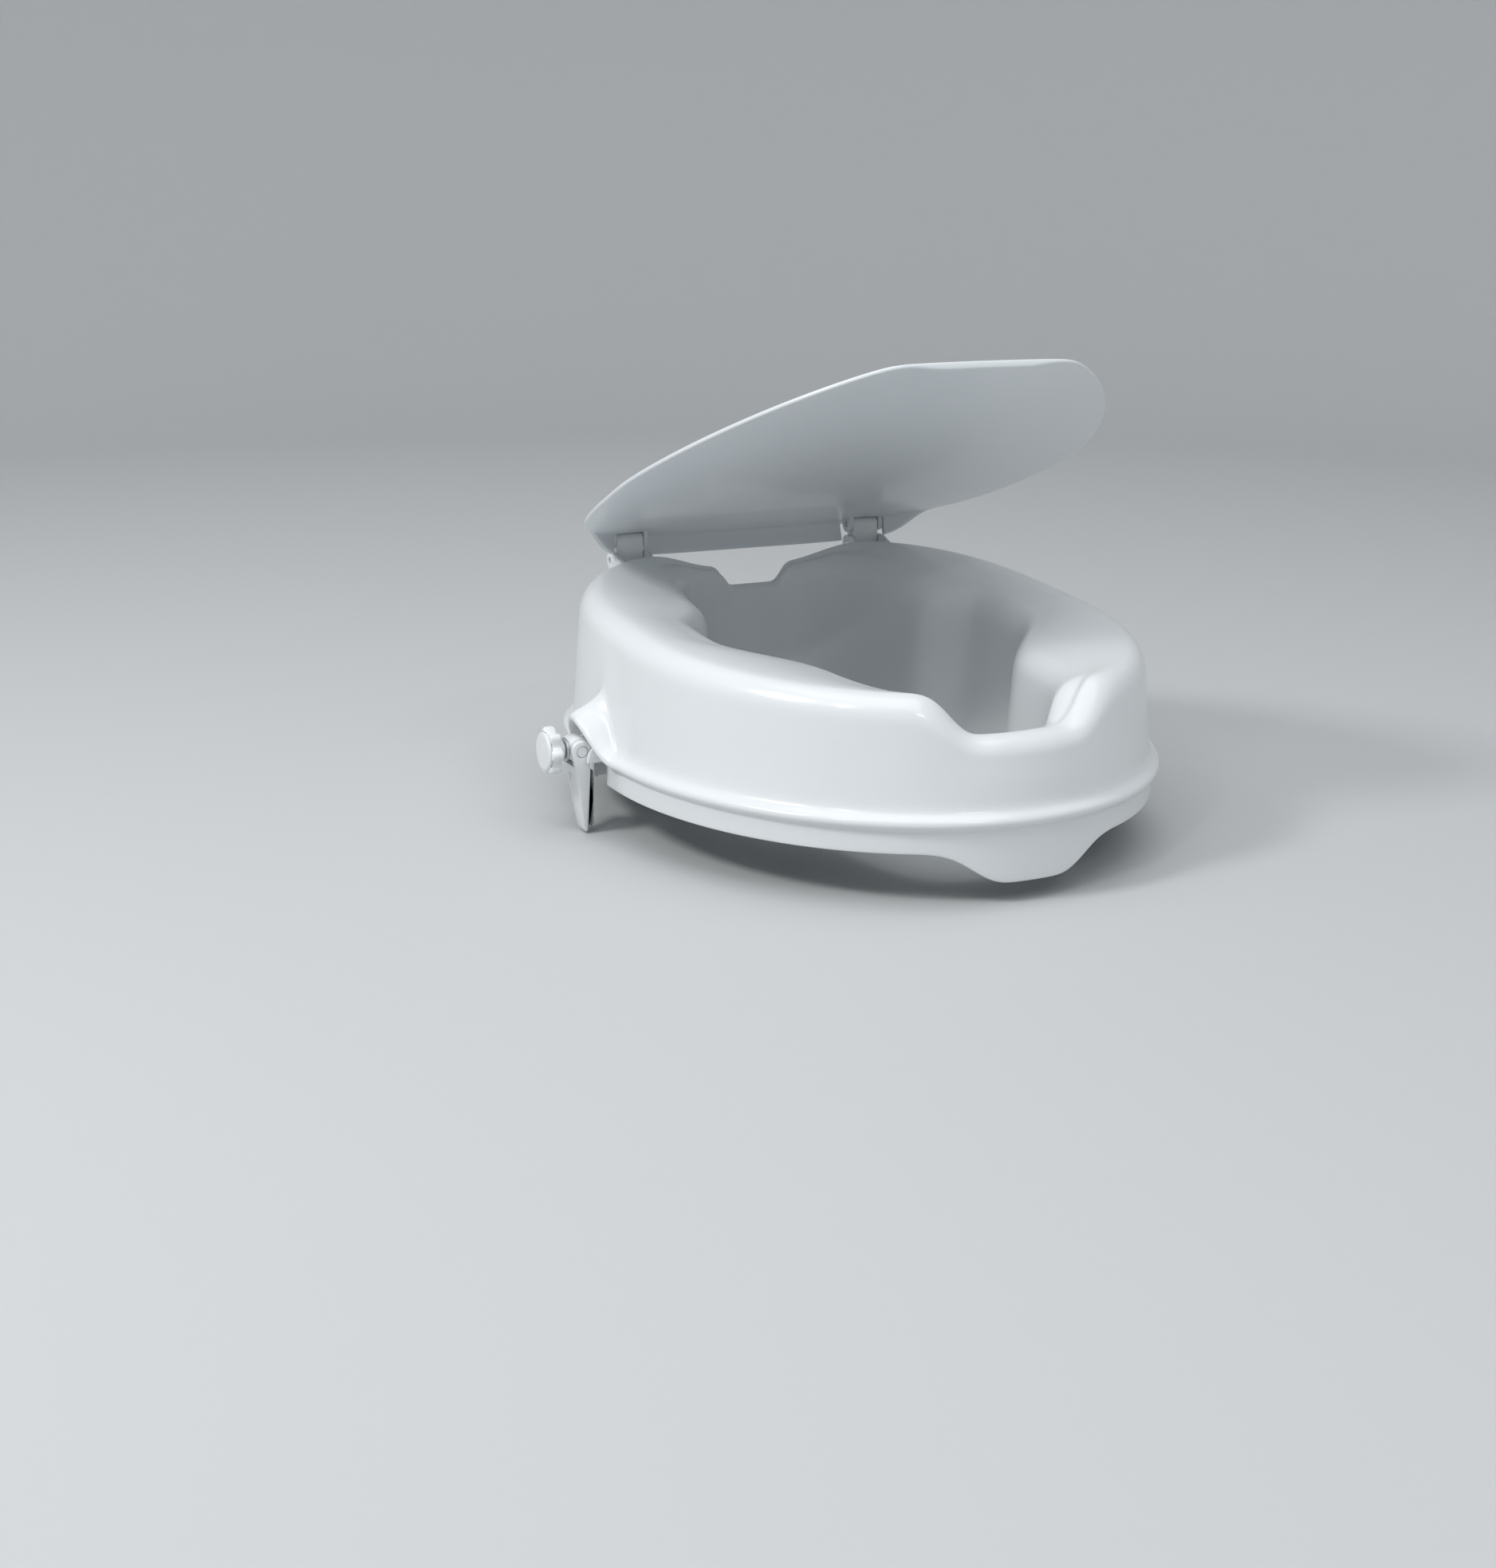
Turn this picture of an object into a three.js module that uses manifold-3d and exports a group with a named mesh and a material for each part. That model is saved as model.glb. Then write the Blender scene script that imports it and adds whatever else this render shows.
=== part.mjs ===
// Raised toilet seat with a lid: a moulded plastic riser that sits on the rim of a toilet bowl,
// a lid on two double-pin link hinges, and a screw clamp on each side that grips the bowl.
//
// Millimetres, +Z up. -Y is the front of the seat, +X its right-hand side seen from the front.
// The origin is the centre of the plane in which the rubber pads rest on the bowl's rim.

import * as THREE from 'three';
import { mergeVertices } from 'three/addons/utils/BufferGeometryUtils.js';
import Module from 'manifold-3d';

const wasm = await Module();
wasm.setup();

// ---- driving dimensions ------------------------------------------------------------------

// plan of the seat, measured at the bead that runs round it
const seatHalfWidth = 180;
const seatFront = 213;
const seatRear = 186;
const frontFullness = 2.0;        // superellipse exponents of the two halves of the outline
const rearFullness = 3.0;
const shellWall = 3.2;

// heights above the bowl's rim
const seatRise = 98.5;            // top of the side pads at the middle of the seat
const seatSlope = 0.08;           // the top falls towards the front
const seatCurve = 0.00012;        // and flattens out there
const beadHeight = 17;
const skirtBottom = -1.5;
const splashDepth = 12;           // how far the splash guard hangs into the bowl

// the front tongue of the skirt and the hygiene recess above it
const tongueHalf = 60;
const tongueDrop = 19;
const recessHalf = 58;
const recessFloorHalf = 30;
const recessDepth = 24;

// the rear valley between the hinges and the notch in it
const valleyHalf = 92;
const valleyDepth = 15;
const notchHalf = 23;
const notchDrop = 11.5;             // the rear notch's floor, below the side pads' top

// the opening: a wide middle, a narrower front and a rear that is narrower by one step
const openingFront = 171;
const openingRear = 163;
const openingFrontHalf = 63;
const openingMiddleHalf = 104;
const openingRearHalf = 81;

// the bead lifts over each clamp as a small hood
const clampY = 22;
const clampZ = 22;
const clampOut = 12;              // from the bead to the middle of the barrel
const hoodHalf = 31;
const hoodRise = 27;
const hoodReach = 15;
const hoodRiseSharpness = 2.6;
const hoodReachSharpness = 1.3;
const hoodRoof = 7;                // how much further the fillet above the bead climbs there
const pocketSpare = 1;            // room over the barrel in its pocket

// hinges
const hingeSpacing = 186;
const hingeY = 175;
const hingePinRise = 11.5;          // the lower pins stand this far above the side pads' top
const hingePinPitch = 14;
const hingePinRadius = 2;
const linkWidth = 20;
const linkRadius = 5;
const lugThick = 3.2;
const lugRadius = 6;

// lid
const lidHalfWidth = 161.9;
const lidLength = 369.5;
const lidOpenAngle = 24.1;         // degrees above level in the part's rest position
const lidWall = 3;
const lidRearLip = 14;            // a lip hangs down along the rear edge and round its corners
const lidDome = 1;
const lidFrontFullness = 1.68;
const lidRearFullness = 2.86;
const lidNose = 23.3;             // how much of the front's pointed tip is planed off
const lidNoseRound = 2.7;         // how softly the planed edge turns into the sides
const lidTaper = 0.049;           // the front half is wider and the rear narrower by this share
const lidSag = 9.6;               // the rim rises towards both ends
const lidCamber = 4.4;            // and falls towards both sides
const lidRearShare = 0.464;       // the widest place divides the length in this share
const lidPinInset = 23.4;         // from the lid's rear edge to its hinge pins
const lidPinDrop = 2;             // from the lid's underside to its hinge pins

// clamps
const spindleRadius = 4;
const spindleOut = 18.5;          // from the barrel's middle away from the seat
const spindleSpare = 8;           // thread that stands beyond the nut
const barrelRadius = 8;
const barrelHalf = 7.2;
const trunnionRadius = 3.5;
const armHalf = 10.5;
const armTipHalf = 6.2;
const armLength = 54;
const armTop = 10;
const armTip = 3;
const gripThick = 3.8;
const gripLength = 38;
const gripHalf = 5.6;
const gripTeeth = 9;
const knobRadius = 15.5;
const knobLobes = 7;
const knobThick = 8;
const capRadius = 12.4;
const capThick = 2.2;
const nutFlats = 13;
const nutThick = 6.5;
const pocketDepth = 32.5;         // from the barrel's middle to the back of its pocket
const pocketWall = 3;

// rubber pads under the seat
const padLength = 30;
const padWidth = 15;
const padThick = 4;
const bossReach = 13.5;           // the boss over a pad reaches this far beyond it, into the skirt
const bossThick = 9;
const ribReach = 10;
const ribThick = 3.2;
const ribTop = 62;

const gap = 0.3;                  // between pieces that touch
const stations = 64;              // sections round the seat

const hingePinLow = seatRise + hingePinRise;
const notchFloor = seatRise - notchDrop;

// ---- materials ---------------------------------------------------------------------------

const white = () => new THREE.MeshStandardMaterial({ color: 0xe9edf0, roughness: 0.3, metalness: 0 });
const rubber = () => new THREE.MeshStandardMaterial({ color: 0x9a9c9b, roughness: 0.9, metalness: 0 });
const steel = () => new THREE.MeshStandardMaterial({ color: 0xb9bcc0, roughness: 0.35, metalness: 1 });

// ---- helpers -----------------------------------------------------------------------------

const rad = THREE.MathUtils.degToRad;
const { lerp, smoothstep } = THREE.MathUtils;

/** A closed mesh as a manifold solid: positions only, shared vertices merged. */
function solid(geometry) {
  const plain = geometry.clone();
  plain.deleteAttribute('normal');
  plain.deleteAttribute('uv');
  const merged = mergeVertices(plain, 1e-4);
  return new wasm.Manifold(new wasm.Mesh({
    numProp: 3,
    vertProperties: new Float32Array(merged.attributes.position.array),
    triVerts: new Uint32Array(merged.index.array),
  }));
}

/** A manifold solid as three.js geometry. */
function geometryOf(manifold) {
  const mesh = manifold.getMesh();
  const geometry = new THREE.BufferGeometry();
  geometry.setAttribute('position', new THREE.BufferAttribute(mesh.vertProperties, 3));
  geometry.setIndex(new THREE.BufferAttribute(mesh.triVerts, 1));
  geometry.computeVertexNormals();
  return geometry;
}

/** Skin a row of rings. A ring of one point closes an end; a closed row joins last to first. */
function loft(rings, closed) {
  const positions = [];
  const starts = rings.map((ring) => {
    const start = positions.length / 3;
    ring.forEach((point) => positions.push(...point));
    return start;
  });
  const index = [];
  const pairs = closed ? rings.length : rings.length - 1;
  for (let r = 0; r < pairs; r += 1) {
    const next = (r + 1) % rings.length;
    const count = Math.max(rings[r].length, rings[next].length);
    for (let i = 0; i < count; i += 1) {
      const j = (i + 1) % count;
      const a = starts[r] + (rings[r].length > 1 ? i : 0);
      const b = starts[r] + (rings[r].length > 1 ? j : 0);
      const c = starts[next] + (rings[next].length > 1 ? j : 0);
      const d = starts[next] + (rings[next].length > 1 ? i : 0);
      if (a !== b) index.push(a, b, c);
      if (c !== d) index.push(a, c, d);
    }
  }
  const geometry = new THREE.BufferGeometry();
  geometry.setAttribute('position', new THREE.Float32BufferAttribute(positions, 3));
  geometry.setIndex(index);
  return geometry;
}

/** A box given by its two corners. */
function box(x0, x1, y0, y1, z0, z1) {
  const geometry = new THREE.BoxGeometry(x1 - x0, y1 - y0, z1 - z0);
  return geometry.translate((x0 + x1) / 2, (y0 + y1) / 2, (z0 + z1) / 2);
}

/** A cylinder along X or Y between two stations, through the point (x, y, z) across it. */
function rod(axis, radius, from, to, centre = [0, 0, 0], sides = 20) {
  const geometry = new THREE.CylinderGeometry(radius, radius, to - from, sides);
  const middle = (from + to) / 2;
  if (axis === 'x') {
    geometry.rotateZ(Math.PI / 2);
    return geometry.translate(middle + centre[0], centre[1], centre[2]);
  }
  return geometry.translate(centre[0], middle + centre[1], centre[2]);
}

/** A side profile in (y, z), extruded along X from x0 to x1. */
function plate(points, x0, x1) {
  const shape = new THREE.Shape(points.map(([y, z]) => new THREE.Vector2(y, z)));
  const geometry = new THREE.ExtrudeGeometry(shape, { depth: x1 - x0, bevelEnabled: false });
  // the extrusion's own axes (across, up, depth) become Y, Z and X
  geometry.applyMatrix4(new THREE.Matrix4().set(0, 0, 1, x0, 1, 0, 0, 0, 0, 1, 0, 0, 0, 0, 0, 1));
  return geometry;
}

/** Points of an arc in a plane, from one angle in degrees to another. */
function arc(cx, cy, radius, from, to, steps) {
  return Array.from({ length: steps + 1 }, (_, i) => {
    const angle = rad(lerp(from, to, i / steps));
    return [cx + radius * Math.cos(angle), cy + radius * Math.sin(angle)];
  });
}

const power = (value, exponent) => Math.sign(value) * Math.abs(value) ** exponent;

/** A superellipse whose front (-Y) and rear halves have their own length and fullness. */
function superellipse(angle, halfWidth, front, rear, fullFront, fullRear) {
  const inFront = Math.sin(angle) < 0;
  const exponent = 2 / (inFront ? fullFront : fullRear);
  const x = halfWidth * power(Math.cos(angle), exponent);
  const y = (inFront ? front : rear) * power(Math.sin(angle), exponent);
  return [x, y];
}

// ---- the seat body -----------------------------------------------------------------------

/** The seat's outline, moved inwards by an inset. */
const outline = (angle, inset) => superellipse(
  angle, seatHalfWidth - inset, seatFront - inset, seatRear - inset, frontFullness, rearFullness);

/** Half the opening's width, before its ends are rounded. */
function openingHalf(y) {
  const toMiddle = smoothstep(y, -84, -18);
  const toRear = smoothstep(y, 32, 70);
  return openingFrontHalf + (openingMiddleHalf - openingFrontHalf) * toMiddle
    - (openingMiddleHalf - openingRearHalf) * toRear;
}

/** The edge of the opening at a station. */
function opening(angle) {
  const fullness = 3.4;
  const [unitX, unitY] = superellipse(angle, 1, openingFront, openingRear, fullness, fullness);
  return [unitX * openingHalf(unitY), unitY];
}

/** Height of the top before its edges are rounded off: slope, front recess and rear valley. */
function topHeight(x, y) {
  const level = seatRise + seatSlope * y + seatCurve * y * y;
  const recess = (1 - smoothstep(Math.abs(x), recessFloorHalf, recessHalf)) * smoothstep(-y, 100, 150);
  const valley = (1 - smoothstep(Math.abs(x), 20, valleyHalf)) * smoothstep(y, 100, 158);
  return level - recessDepth * recess - valleyDepth * valley;
}

/** A hump over a clamp at a station: 1 in its middle, 0 away from it, narrower as it is sharper. */
function hoodAt(y, sharpness) {
  const across = Math.abs(y - clampY) / hoodHalf;
  return across < 1 ? (1 - across * across) ** sharpness : 0;
}

/** One closed section of the shell, from the skirt over the top to the splash guard and back. */
function section(angle) {
  const [edgeX, edgeY] = outline(angle, 4);
  const shoulder = outline(angle, 10);
  const [innerX, innerY] = opening(angle);
  const width = Math.hypot(innerX - shoulder[0], innerY - shoulder[1]);
  const dir = [(innerX - shoulder[0]) / width, (innerY - shoulder[1]) / width];
  const across = (s, z) => [shoulder[0] + dir[0] * s, shoulder[1] + dir[1] * s, z];
  const around = (inset, z) => [...outline(angle, inset), z];

  const crown = Math.min(17, width * 0.42);           // outer rounding of the pads
  const innerRound = Math.min(20, width * 0.38);
  const wall = Math.min(shellWall, width * 0.3);
  const padFall = Math.min(7, width * 0.06);          // the pads tip towards the opening
  const crownAt = across(crown, 0);
  const lipAt = across(width - innerRound, 0);
  const top = topHeight(crownAt[0], crownAt[1]);
  const lip = topHeight(lipAt[0], lipAt[1]) - padFall;

  const tongue = (1 - smoothstep(Math.abs(edgeX), tongueHalf * 0.3, tongueHalf)) * (edgeY < 0 ? 1 : 0);
  const bottom = skirtBottom - tongueDrop * tongue;
  const hood = hoodAt(edgeY, hoodRiseSharpness);
  const bead = beadHeight + hoodRise * hood;
  const reach = hoodReach * hoodAt(edgeY, hoodReachSharpness);
  const roof = hoodRoof * hood;

  // a quarter-ellipse over each edge of the pad, shrunk by the wall for the underside
  const over = (inset) => [0, 22, 45, 68].map((degrees) => {
    const angleUp = rad(degrees);
    return across(crown - (crown - inset) * Math.cos(angleUp),
      top - crown + (crown - inset) * Math.sin(angleUp));
  });
  const middle = (inset) => [0.0, 0.3, 0.62].map((part) => {
    const s = lerp(crown, width - innerRound, part);
    const [x, y] = across(s, 0);
    return across(s, lerp(top, topHeight(x, y), smoothstep(part, 0, 1)) - padFall * part * part - inset);
  });
  const down = (inset) => [90, 60, 30, 0].map((degrees) => {
    const angleUp = rad(degrees);
    return across(width - innerRound + (innerRound - inset) * Math.cos(angleUp),
      lip - innerRound + (innerRound - inset) * Math.sin(angleUp));
  });

  const outside = [
    around(4, bottom),
    around(4, bead - 4.6),
    around(0.9 - reach, bead - 2.8),
    around(-reach, bead),
    around(0.9 - reach, bead + 2.4),
    around(4.6 - reach * 0.35, bead + 5.2 + roof * 0.6),
    around(6.4, bead + 12 + roof),
    ...over(0),
    ...middle(0),
    ...down(0),
    across(width + 3, lerp(lip, 0, 0.62)),
    across(width + 5.5, 4),
    across(width + 7.5, -splashDepth),
  ];
  const inside = [
    around(4 + wall, bottom),
    around(6.4 + wall, bead + 12 + roof),
    ...over(wall),
    ...middle(wall),
    ...down(wall),
    across(width + 5.5 - wall, 4),
    across(width + 7.5 - wall, -splashDepth),
  ];
  return [...outside, ...inside.reverse()];
}

/** The notch through the rear wall, with sloping sides and rounded floor corners. */
function notchCutter() {
  const shape = new THREE.Shape();
  const round = 3;
  const topHalf = notchHalf + 4;
  shape.moveTo(-topHalf - 1, seatRise + 40);
  shape.lineTo(-topHalf, notchFloor + 9);
  shape.lineTo(-notchHalf, notchFloor + round);
  shape.quadraticCurveTo(-notchHalf, notchFloor, -notchHalf + round, notchFloor);
  shape.lineTo(notchHalf - round, notchFloor);
  shape.quadraticCurveTo(notchHalf, notchFloor, notchHalf, notchFloor + round);
  shape.lineTo(topHalf, notchFloor + 9);
  shape.lineTo(topHalf + 1, seatRise + 40);
  const geometry = new THREE.ExtrudeGeometry(shape, { depth: 40, bevelEnabled: false, curveSegments: 3 });
  geometry.rotateX(Math.PI / 2);
  return geometry.translate(0, seatRear + 10, 0);
}

const clampX = seatHalfWidth + clampOut;
const pocketHalf = armHalf + 0.6;
const pocketTop = clampZ + barrelRadius + pocketSpare;
const pocketBack = clampX - pocketDepth;
const spindleIn = pocketDepth + pocketWall + nutThick + spindleSpare;

/** A floor between the two walls, which closes the hollow under the notch. */
const notchBed = () => box(-notchHalf - 6, notchHalf + 6, openingRear + 1.5, openingRear + 11.8,
  notchFloor - shellWall, notchFloor + 3);

/** What the body gains at a clamp on the right: the pocket's walls and the two cheeks. */
function clampHousing() {
  const skirtX = seatHalfWidth - 4;
  let housing = solid(box(pocketBack - pocketWall - nutThick, skirtX - 1,
    clampY - pocketHalf - pocketWall, clampY + pocketHalf + pocketWall,
    skirtBottom + 1, pocketTop + pocketWall));
  for (const side of [-1, 1]) {
    const inner = clampY + side * pocketHalf;
    const outer = clampY + side * (pocketHalf + pocketWall);
    const reach = clampOut + 2;
    const profile = [[skirtX - 6, clampZ - 7], ...arc(skirtX, clampZ - 7, reach, 0, 90, 8),
      [skirtX - 6, clampZ - 7 + reach]];
    const cheek = new THREE.ExtrudeGeometry(
      new THREE.Shape(profile.map(([x, z]) => new THREE.Vector2(x, z))),
      { depth: pocketWall, bevelEnabled: false });
    cheek.rotateX(Math.PI / 2);
    cheek.translate(0, Math.max(inner, outer), 0);
    housing = housing.add(solid(cheek));
  }
  return housing;
}

/** What is cut from the body there: the pocket, the spindle's hole and the nut's seat. */
function clampCut() {
  const nutHalf = nutFlats / 2 + gap;
  const back = pocketBack - pocketWall;
  return solid(box(pocketBack, clampX + 20, clampY - pocketHalf, clampY + pocketHalf, -30, pocketTop))
    .add(solid(rod('x', spindleRadius + gap, back - nutThick - 8, pocketBack + 1, [0, clampY, clampZ])))
    .add(solid(box(back - nutThick - 1, back, clampY - nutHalf, clampY + nutHalf,
      clampZ - nutHalf, clampZ + nutHalf)));
}

/** The two lugs that hold a hinge pin on the rear wall, at the hinge at x. */
function seatLugs(x) {
  let lugs = null;
  for (const side of [-1, 1]) {
    const near = x + side * (linkWidth / 2 + gap);
    const far = near + side * lugThick;
    const foot = hingeY - 34;
    const profile = [[foot, hingePinLow - 16], [hingeY - 8, hingePinLow - 16],
      ...arc(hingeY, hingePinLow, lugRadius, -60, 90, 8), [hingeY - 8, hingePinLow + lugRadius],
      [foot, hingePinLow - 3]];
    const lug = solid(plate(profile, Math.min(near, far), Math.max(near, far)));
    lugs = lugs ? lugs.add(lug) : lug;
  }
  return lugs.subtract(solid(rod('x', hingePinRadius + gap, x - 30, x + 30, [0, hingeY, hingePinLow])));
}

/** Where the four rubber pads sit: in from the outline, front and rear, left and right. */
const padPlaces = [['front_left', 232], ['front_right', 308], ['rear_left', 138], ['rear_right', 42]]
  .map(([name, degrees]) => {
    const [x, y] = outline(rad(degrees), 27);
    const [ox, oy] = outline(rad(degrees), 0);
    return { name, x, y, turn: Math.atan2(oy - y, ox - x) };
  });

/** A boss inside the shell that a rubber pad is stuck under, with a rib up to the top. */
function padBoss({ x, y, turn }) {
  const foot = box(-padWidth / 2, padWidth / 2 + bossReach, -padLength / 2, padLength / 2,
    padThick + gap, padThick + bossThick);
  const rib = box(-padWidth / 2 - 6, padWidth / 2 + ribReach, -ribThick / 2, ribThick / 2,
    padThick + 3, ribTop);
  return solid(foot.rotateZ(turn).translate(x, y, 0)).add(solid(rib.rotateZ(turn).translate(x, y, 0)));
}

function seatBody() {
  const rows = Array.from({ length: stations }, (_, i) => {
    // stations crowd together at the sides, where the hood is, and at the two ends
    const angle = -i / stations * 2 * Math.PI;
    return section(angle - 0.145 * Math.sin(4 * angle));
  });
  let body = solid(loft(rows, true));
  for (const place of padPlaces) body = body.add(padBoss(place));
  const housing = clampHousing();
  const cut = clampCut();
  body = body.add(housing).add(housing.mirror([1, 0, 0]));
  body = body.subtract(cut).subtract(cut.mirror([1, 0, 0]));
  body = body.add(solid(notchBed())).subtract(solid(notchCutter()));
  for (const side of [-1, 1]) body = body.add(seatLugs(side * hingeSpacing / 2));
  return geometryOf(body);
}

// ---- the lid -----------------------------------------------------------------------------

/** The smaller of two values, with the corner between them rounded off. */
const softMin = (a, b, round) => -round * Math.log(Math.exp(-a / round) + Math.exp(-b / round));

/** The lid lies level here, its hinge pins on the X axis and its front towards -Y. */
function lidBody() {
  const wholeLength = lidLength + lidNose;
  const rearPart = wholeLength * lidRearShare;
  const frontPart = wholeLength - rearPart;
  const centreY = lidPinInset - rearPart;
  const middleY = lidPinInset - wholeLength / 2;
  const count = 56;
  const ring = (inset, part, z, deepens = 0) => Array.from({ length: count }, (_, i) => {
    const [x, y] = superellipse(-i / count * 2 * Math.PI, lidHalfWidth - inset,
      frontPart - inset, rearPart - inset, lidFrontFullness, lidRearFullness);
    const planed = y < 0 ? -softMin(-y, frontPart - inset - lidNose, lidNoseRound) : y;
    const along = (centreY + planed * part - middleY) / (wholeLength / 2);
    const wide = x * part * (1 - lidTaper * along);
    const dome = lidDome * (1 - part * part);
    const deeper = deepens * lidRearLip * smoothstep(centreY + y, -34, 2);
    const bow = lidSag * (along * along - 0.5) - lidCamber * (wide / lidHalfWidth) ** 2;
    return [wide, centreY + planed * part, z + dome + bow - deeper];
  });
  const under = lidPinDrop;
  const above = lidPinDrop + lidWall;
  const rings = [
    [[0, centreY, above + lidDome - lidSag / 2]],
    ring(0, 0.35, above),
    ring(0, 0.65, above),
    ring(0, 0.86, above),
    ring(3, 1, above - 0.2),
    ring(0.9, 1, above - 0.7),
    ring(0, 1, above - 1.5),
    ring(0, 1, under + 0.7, 1),
    ring(0.7, 1, under, 1),
    ring(lidWall - 0.4, 1, under, 1),
    ring(lidWall + 0.8, 1, under),
    ring(0, 0.86, under),
    ring(0, 0.6, under),
    ring(0, 0.3, under),
    [[0, centreY, under + lidDome - lidSag / 2]],
  ];
  let lid = solid(loft(rings, false));

  for (const side of [-1, 1]) {
    const x = side * hingeSpacing / 2;
    // the rear lip is cut away where the links swing
    const half = linkWidth / 2 + lugThick + 2 * gap;
    lid = lid.subtract(solid(box(x - half, x + half, -lugRadius - 2, 30, under - lidRearLip - 1, under + 1.2)));
    lid = lid.subtract(solid(rod('x', linkRadius + 2 * gap, x - half, x + half)));
    for (const end of [-1, 1]) {
      const near = x + end * (linkWidth / 2 + gap);
      const far = near + end * lugThick;
      const profile = [[-9, under + 5], ...arc(0, 0, lugRadius, 210, 360, 8), [7, under + 5]];
      lid = lid.add(solid(plate(profile, Math.min(near, far), Math.max(near, far))));
    }
    lid = lid.subtract(solid(rod('x', hingePinRadius + gap, x - 30, x + 30)));
  }
  return geometryOf(lid);
}

/** One hinge link between its two pin axes, which lie at z = 0 and z = hingePinPitch. */
function hingeLink() {
  const half = linkWidth / 2;
  const profile = [...arc(0, 0, linkRadius, 180, 360, 10), ...arc(0, hingePinPitch, linkRadius, 0, 180, 10)];
  let link = solid(plate(profile, -half, half));
  for (const z of [0, hingePinPitch]) {
    link = link.subtract(solid(rod('x', hingePinRadius + gap, -half - 1, half + 1, [0, 0, z])));
  }
  return geometryOf(link);
}

/** A hinge pin as long as the link and its two lugs. */
const hingePin = () => rod('x', hingePinRadius, -linkWidth / 2 - lugThick, linkWidth / 2 + lugThick, [0, 0, 0], 16);

// ---- a clamp, with +X pointing away from the seat and the origin in the barrel -------------

/** The barrel that carries the arm: it lies across the spindle and swivels in the arm's lugs. */
function barrel() {
  const end = armHalf - 0.2;
  const profile = [[0, -end], [trunnionRadius, -end], [trunnionRadius, -barrelHalf], [barrelRadius - 0.8, -barrelHalf],
    [barrelRadius, -barrelHalf + 0.8], [barrelRadius, barrelHalf - 0.8], [barrelRadius - 0.8, barrelHalf],
    [trunnionRadius, barrelHalf], [trunnionRadius, end], [0, end]]
    .map(([r, y]) => new THREE.Vector2(r, y));
  const body = solid(new THREE.LatheGeometry(profile, 20));
  const flats = solid(box(barrelRadius - 1, barrelRadius + 2, -20, 20, -20, 20))
    .add(solid(box(-barrelRadius - 2, 1 - barrelRadius, -20, 20, -20, 20)));
  return geometryOf(body.subtract(flats).subtract(solid(rod('x', spindleRadius + gap, -20, 20))));
}

/** The clamp arm: two lugs round the barrel's ends and a tapered blade below. */
function clampArm() {
  const inner = -5.5;
  const top = -barrelRadius - 2.2;
  const tip = -armLength;
  const lug = 7;
  const side = [[inner, tip + 2], [inner, -4], ...arc(0, 0, lug, 180, 0, 12), [armTop + inner, top],
    [inner + armTip, tip + 3], [inner + armTip - 1, tip + 0.6], [inner + 1, tip]];
  const shape = new THREE.Shape(side.map(([x, z]) => new THREE.Vector2(x, z)));
  const blank = new THREE.ExtrudeGeometry(shape, { depth: 2 * armHalf, bevelEnabled: false });
  blank.rotateX(Math.PI / 2);
  blank.translate(0, armHalf, 0);
  let arm = solid(blank);
  arm = arm.subtract(solid(box(-20, 20, -barrelHalf - gap, barrelHalf + gap, top, 20)));
  arm = arm.subtract(solid(rod('y', trunnionRadius + gap, -20, 20)));
  for (const end of [-1, 1]) {
    // the blade narrows towards its tip
    const wedge = new THREE.Shape([[armHalf, top - 4], [armTipHalf, tip - 1], [armHalf + 9, tip - 1], [armHalf + 9, top - 4]]
      .map(([y, z]) => new THREE.Vector2(end * y, z)));
    const cut = new THREE.ExtrudeGeometry(wedge, { depth: 60, bevelEnabled: false });
    cut.applyMatrix4(new THREE.Matrix4().set(0, 0, 1, -30, 1, 0, 0, 0, 0, 1, 0, 0, 0, 0, 0, 1));
    arm = arm.subtract(solid(cut));
  }
  // a shallow hollow down the blade's outer face leaves a rib at each edge
  const hollow = box(armTop + inner - 5, armTop + inner + 12, -5.5, 5.5, -24, 0);
  hollow.rotateY(-Math.atan2(armTop - armTip, armLength - barrelRadius - 4));
  arm = arm.subtract(solid(hollow.translate(1.5, 0, -16)));
  return geometryOf(arm);
}

/** The rubber grip on the arm's inner face, toothed towards the bowl. */
function gripPad() {
  const back = -5.5 - gap;
  const low = -armLength + 2.5;
  const pitch = gripLength / gripTeeth;
  const points = [[back, low], [back, low + gripLength]];
  for (let i = gripTeeth - 1; i >= 0; i -= 1) {
    points.push([back - gripThick + 1, low + pitch * (i + 0.95)]);
    points.push([back - gripThick, low + pitch * (i + 0.5)]);
    points.push([back - gripThick + 1, low + pitch * (i + 0.05)]);
  }
  const shape = new THREE.Shape(points.map(([x, z]) => new THREE.Vector2(x, z)));
  const pad = new THREE.ExtrudeGeometry(shape, { depth: 2 * gripHalf, bevelEnabled: false });
  pad.rotateX(Math.PI / 2);
  return pad.translate(0, gripHalf, 0);
}

const knobStart = barrelRadius - 1 + gap + 1.5 + gap;      // outside the barrel's flat and the washer
const knobBack = knobStart + 4.2;

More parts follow.
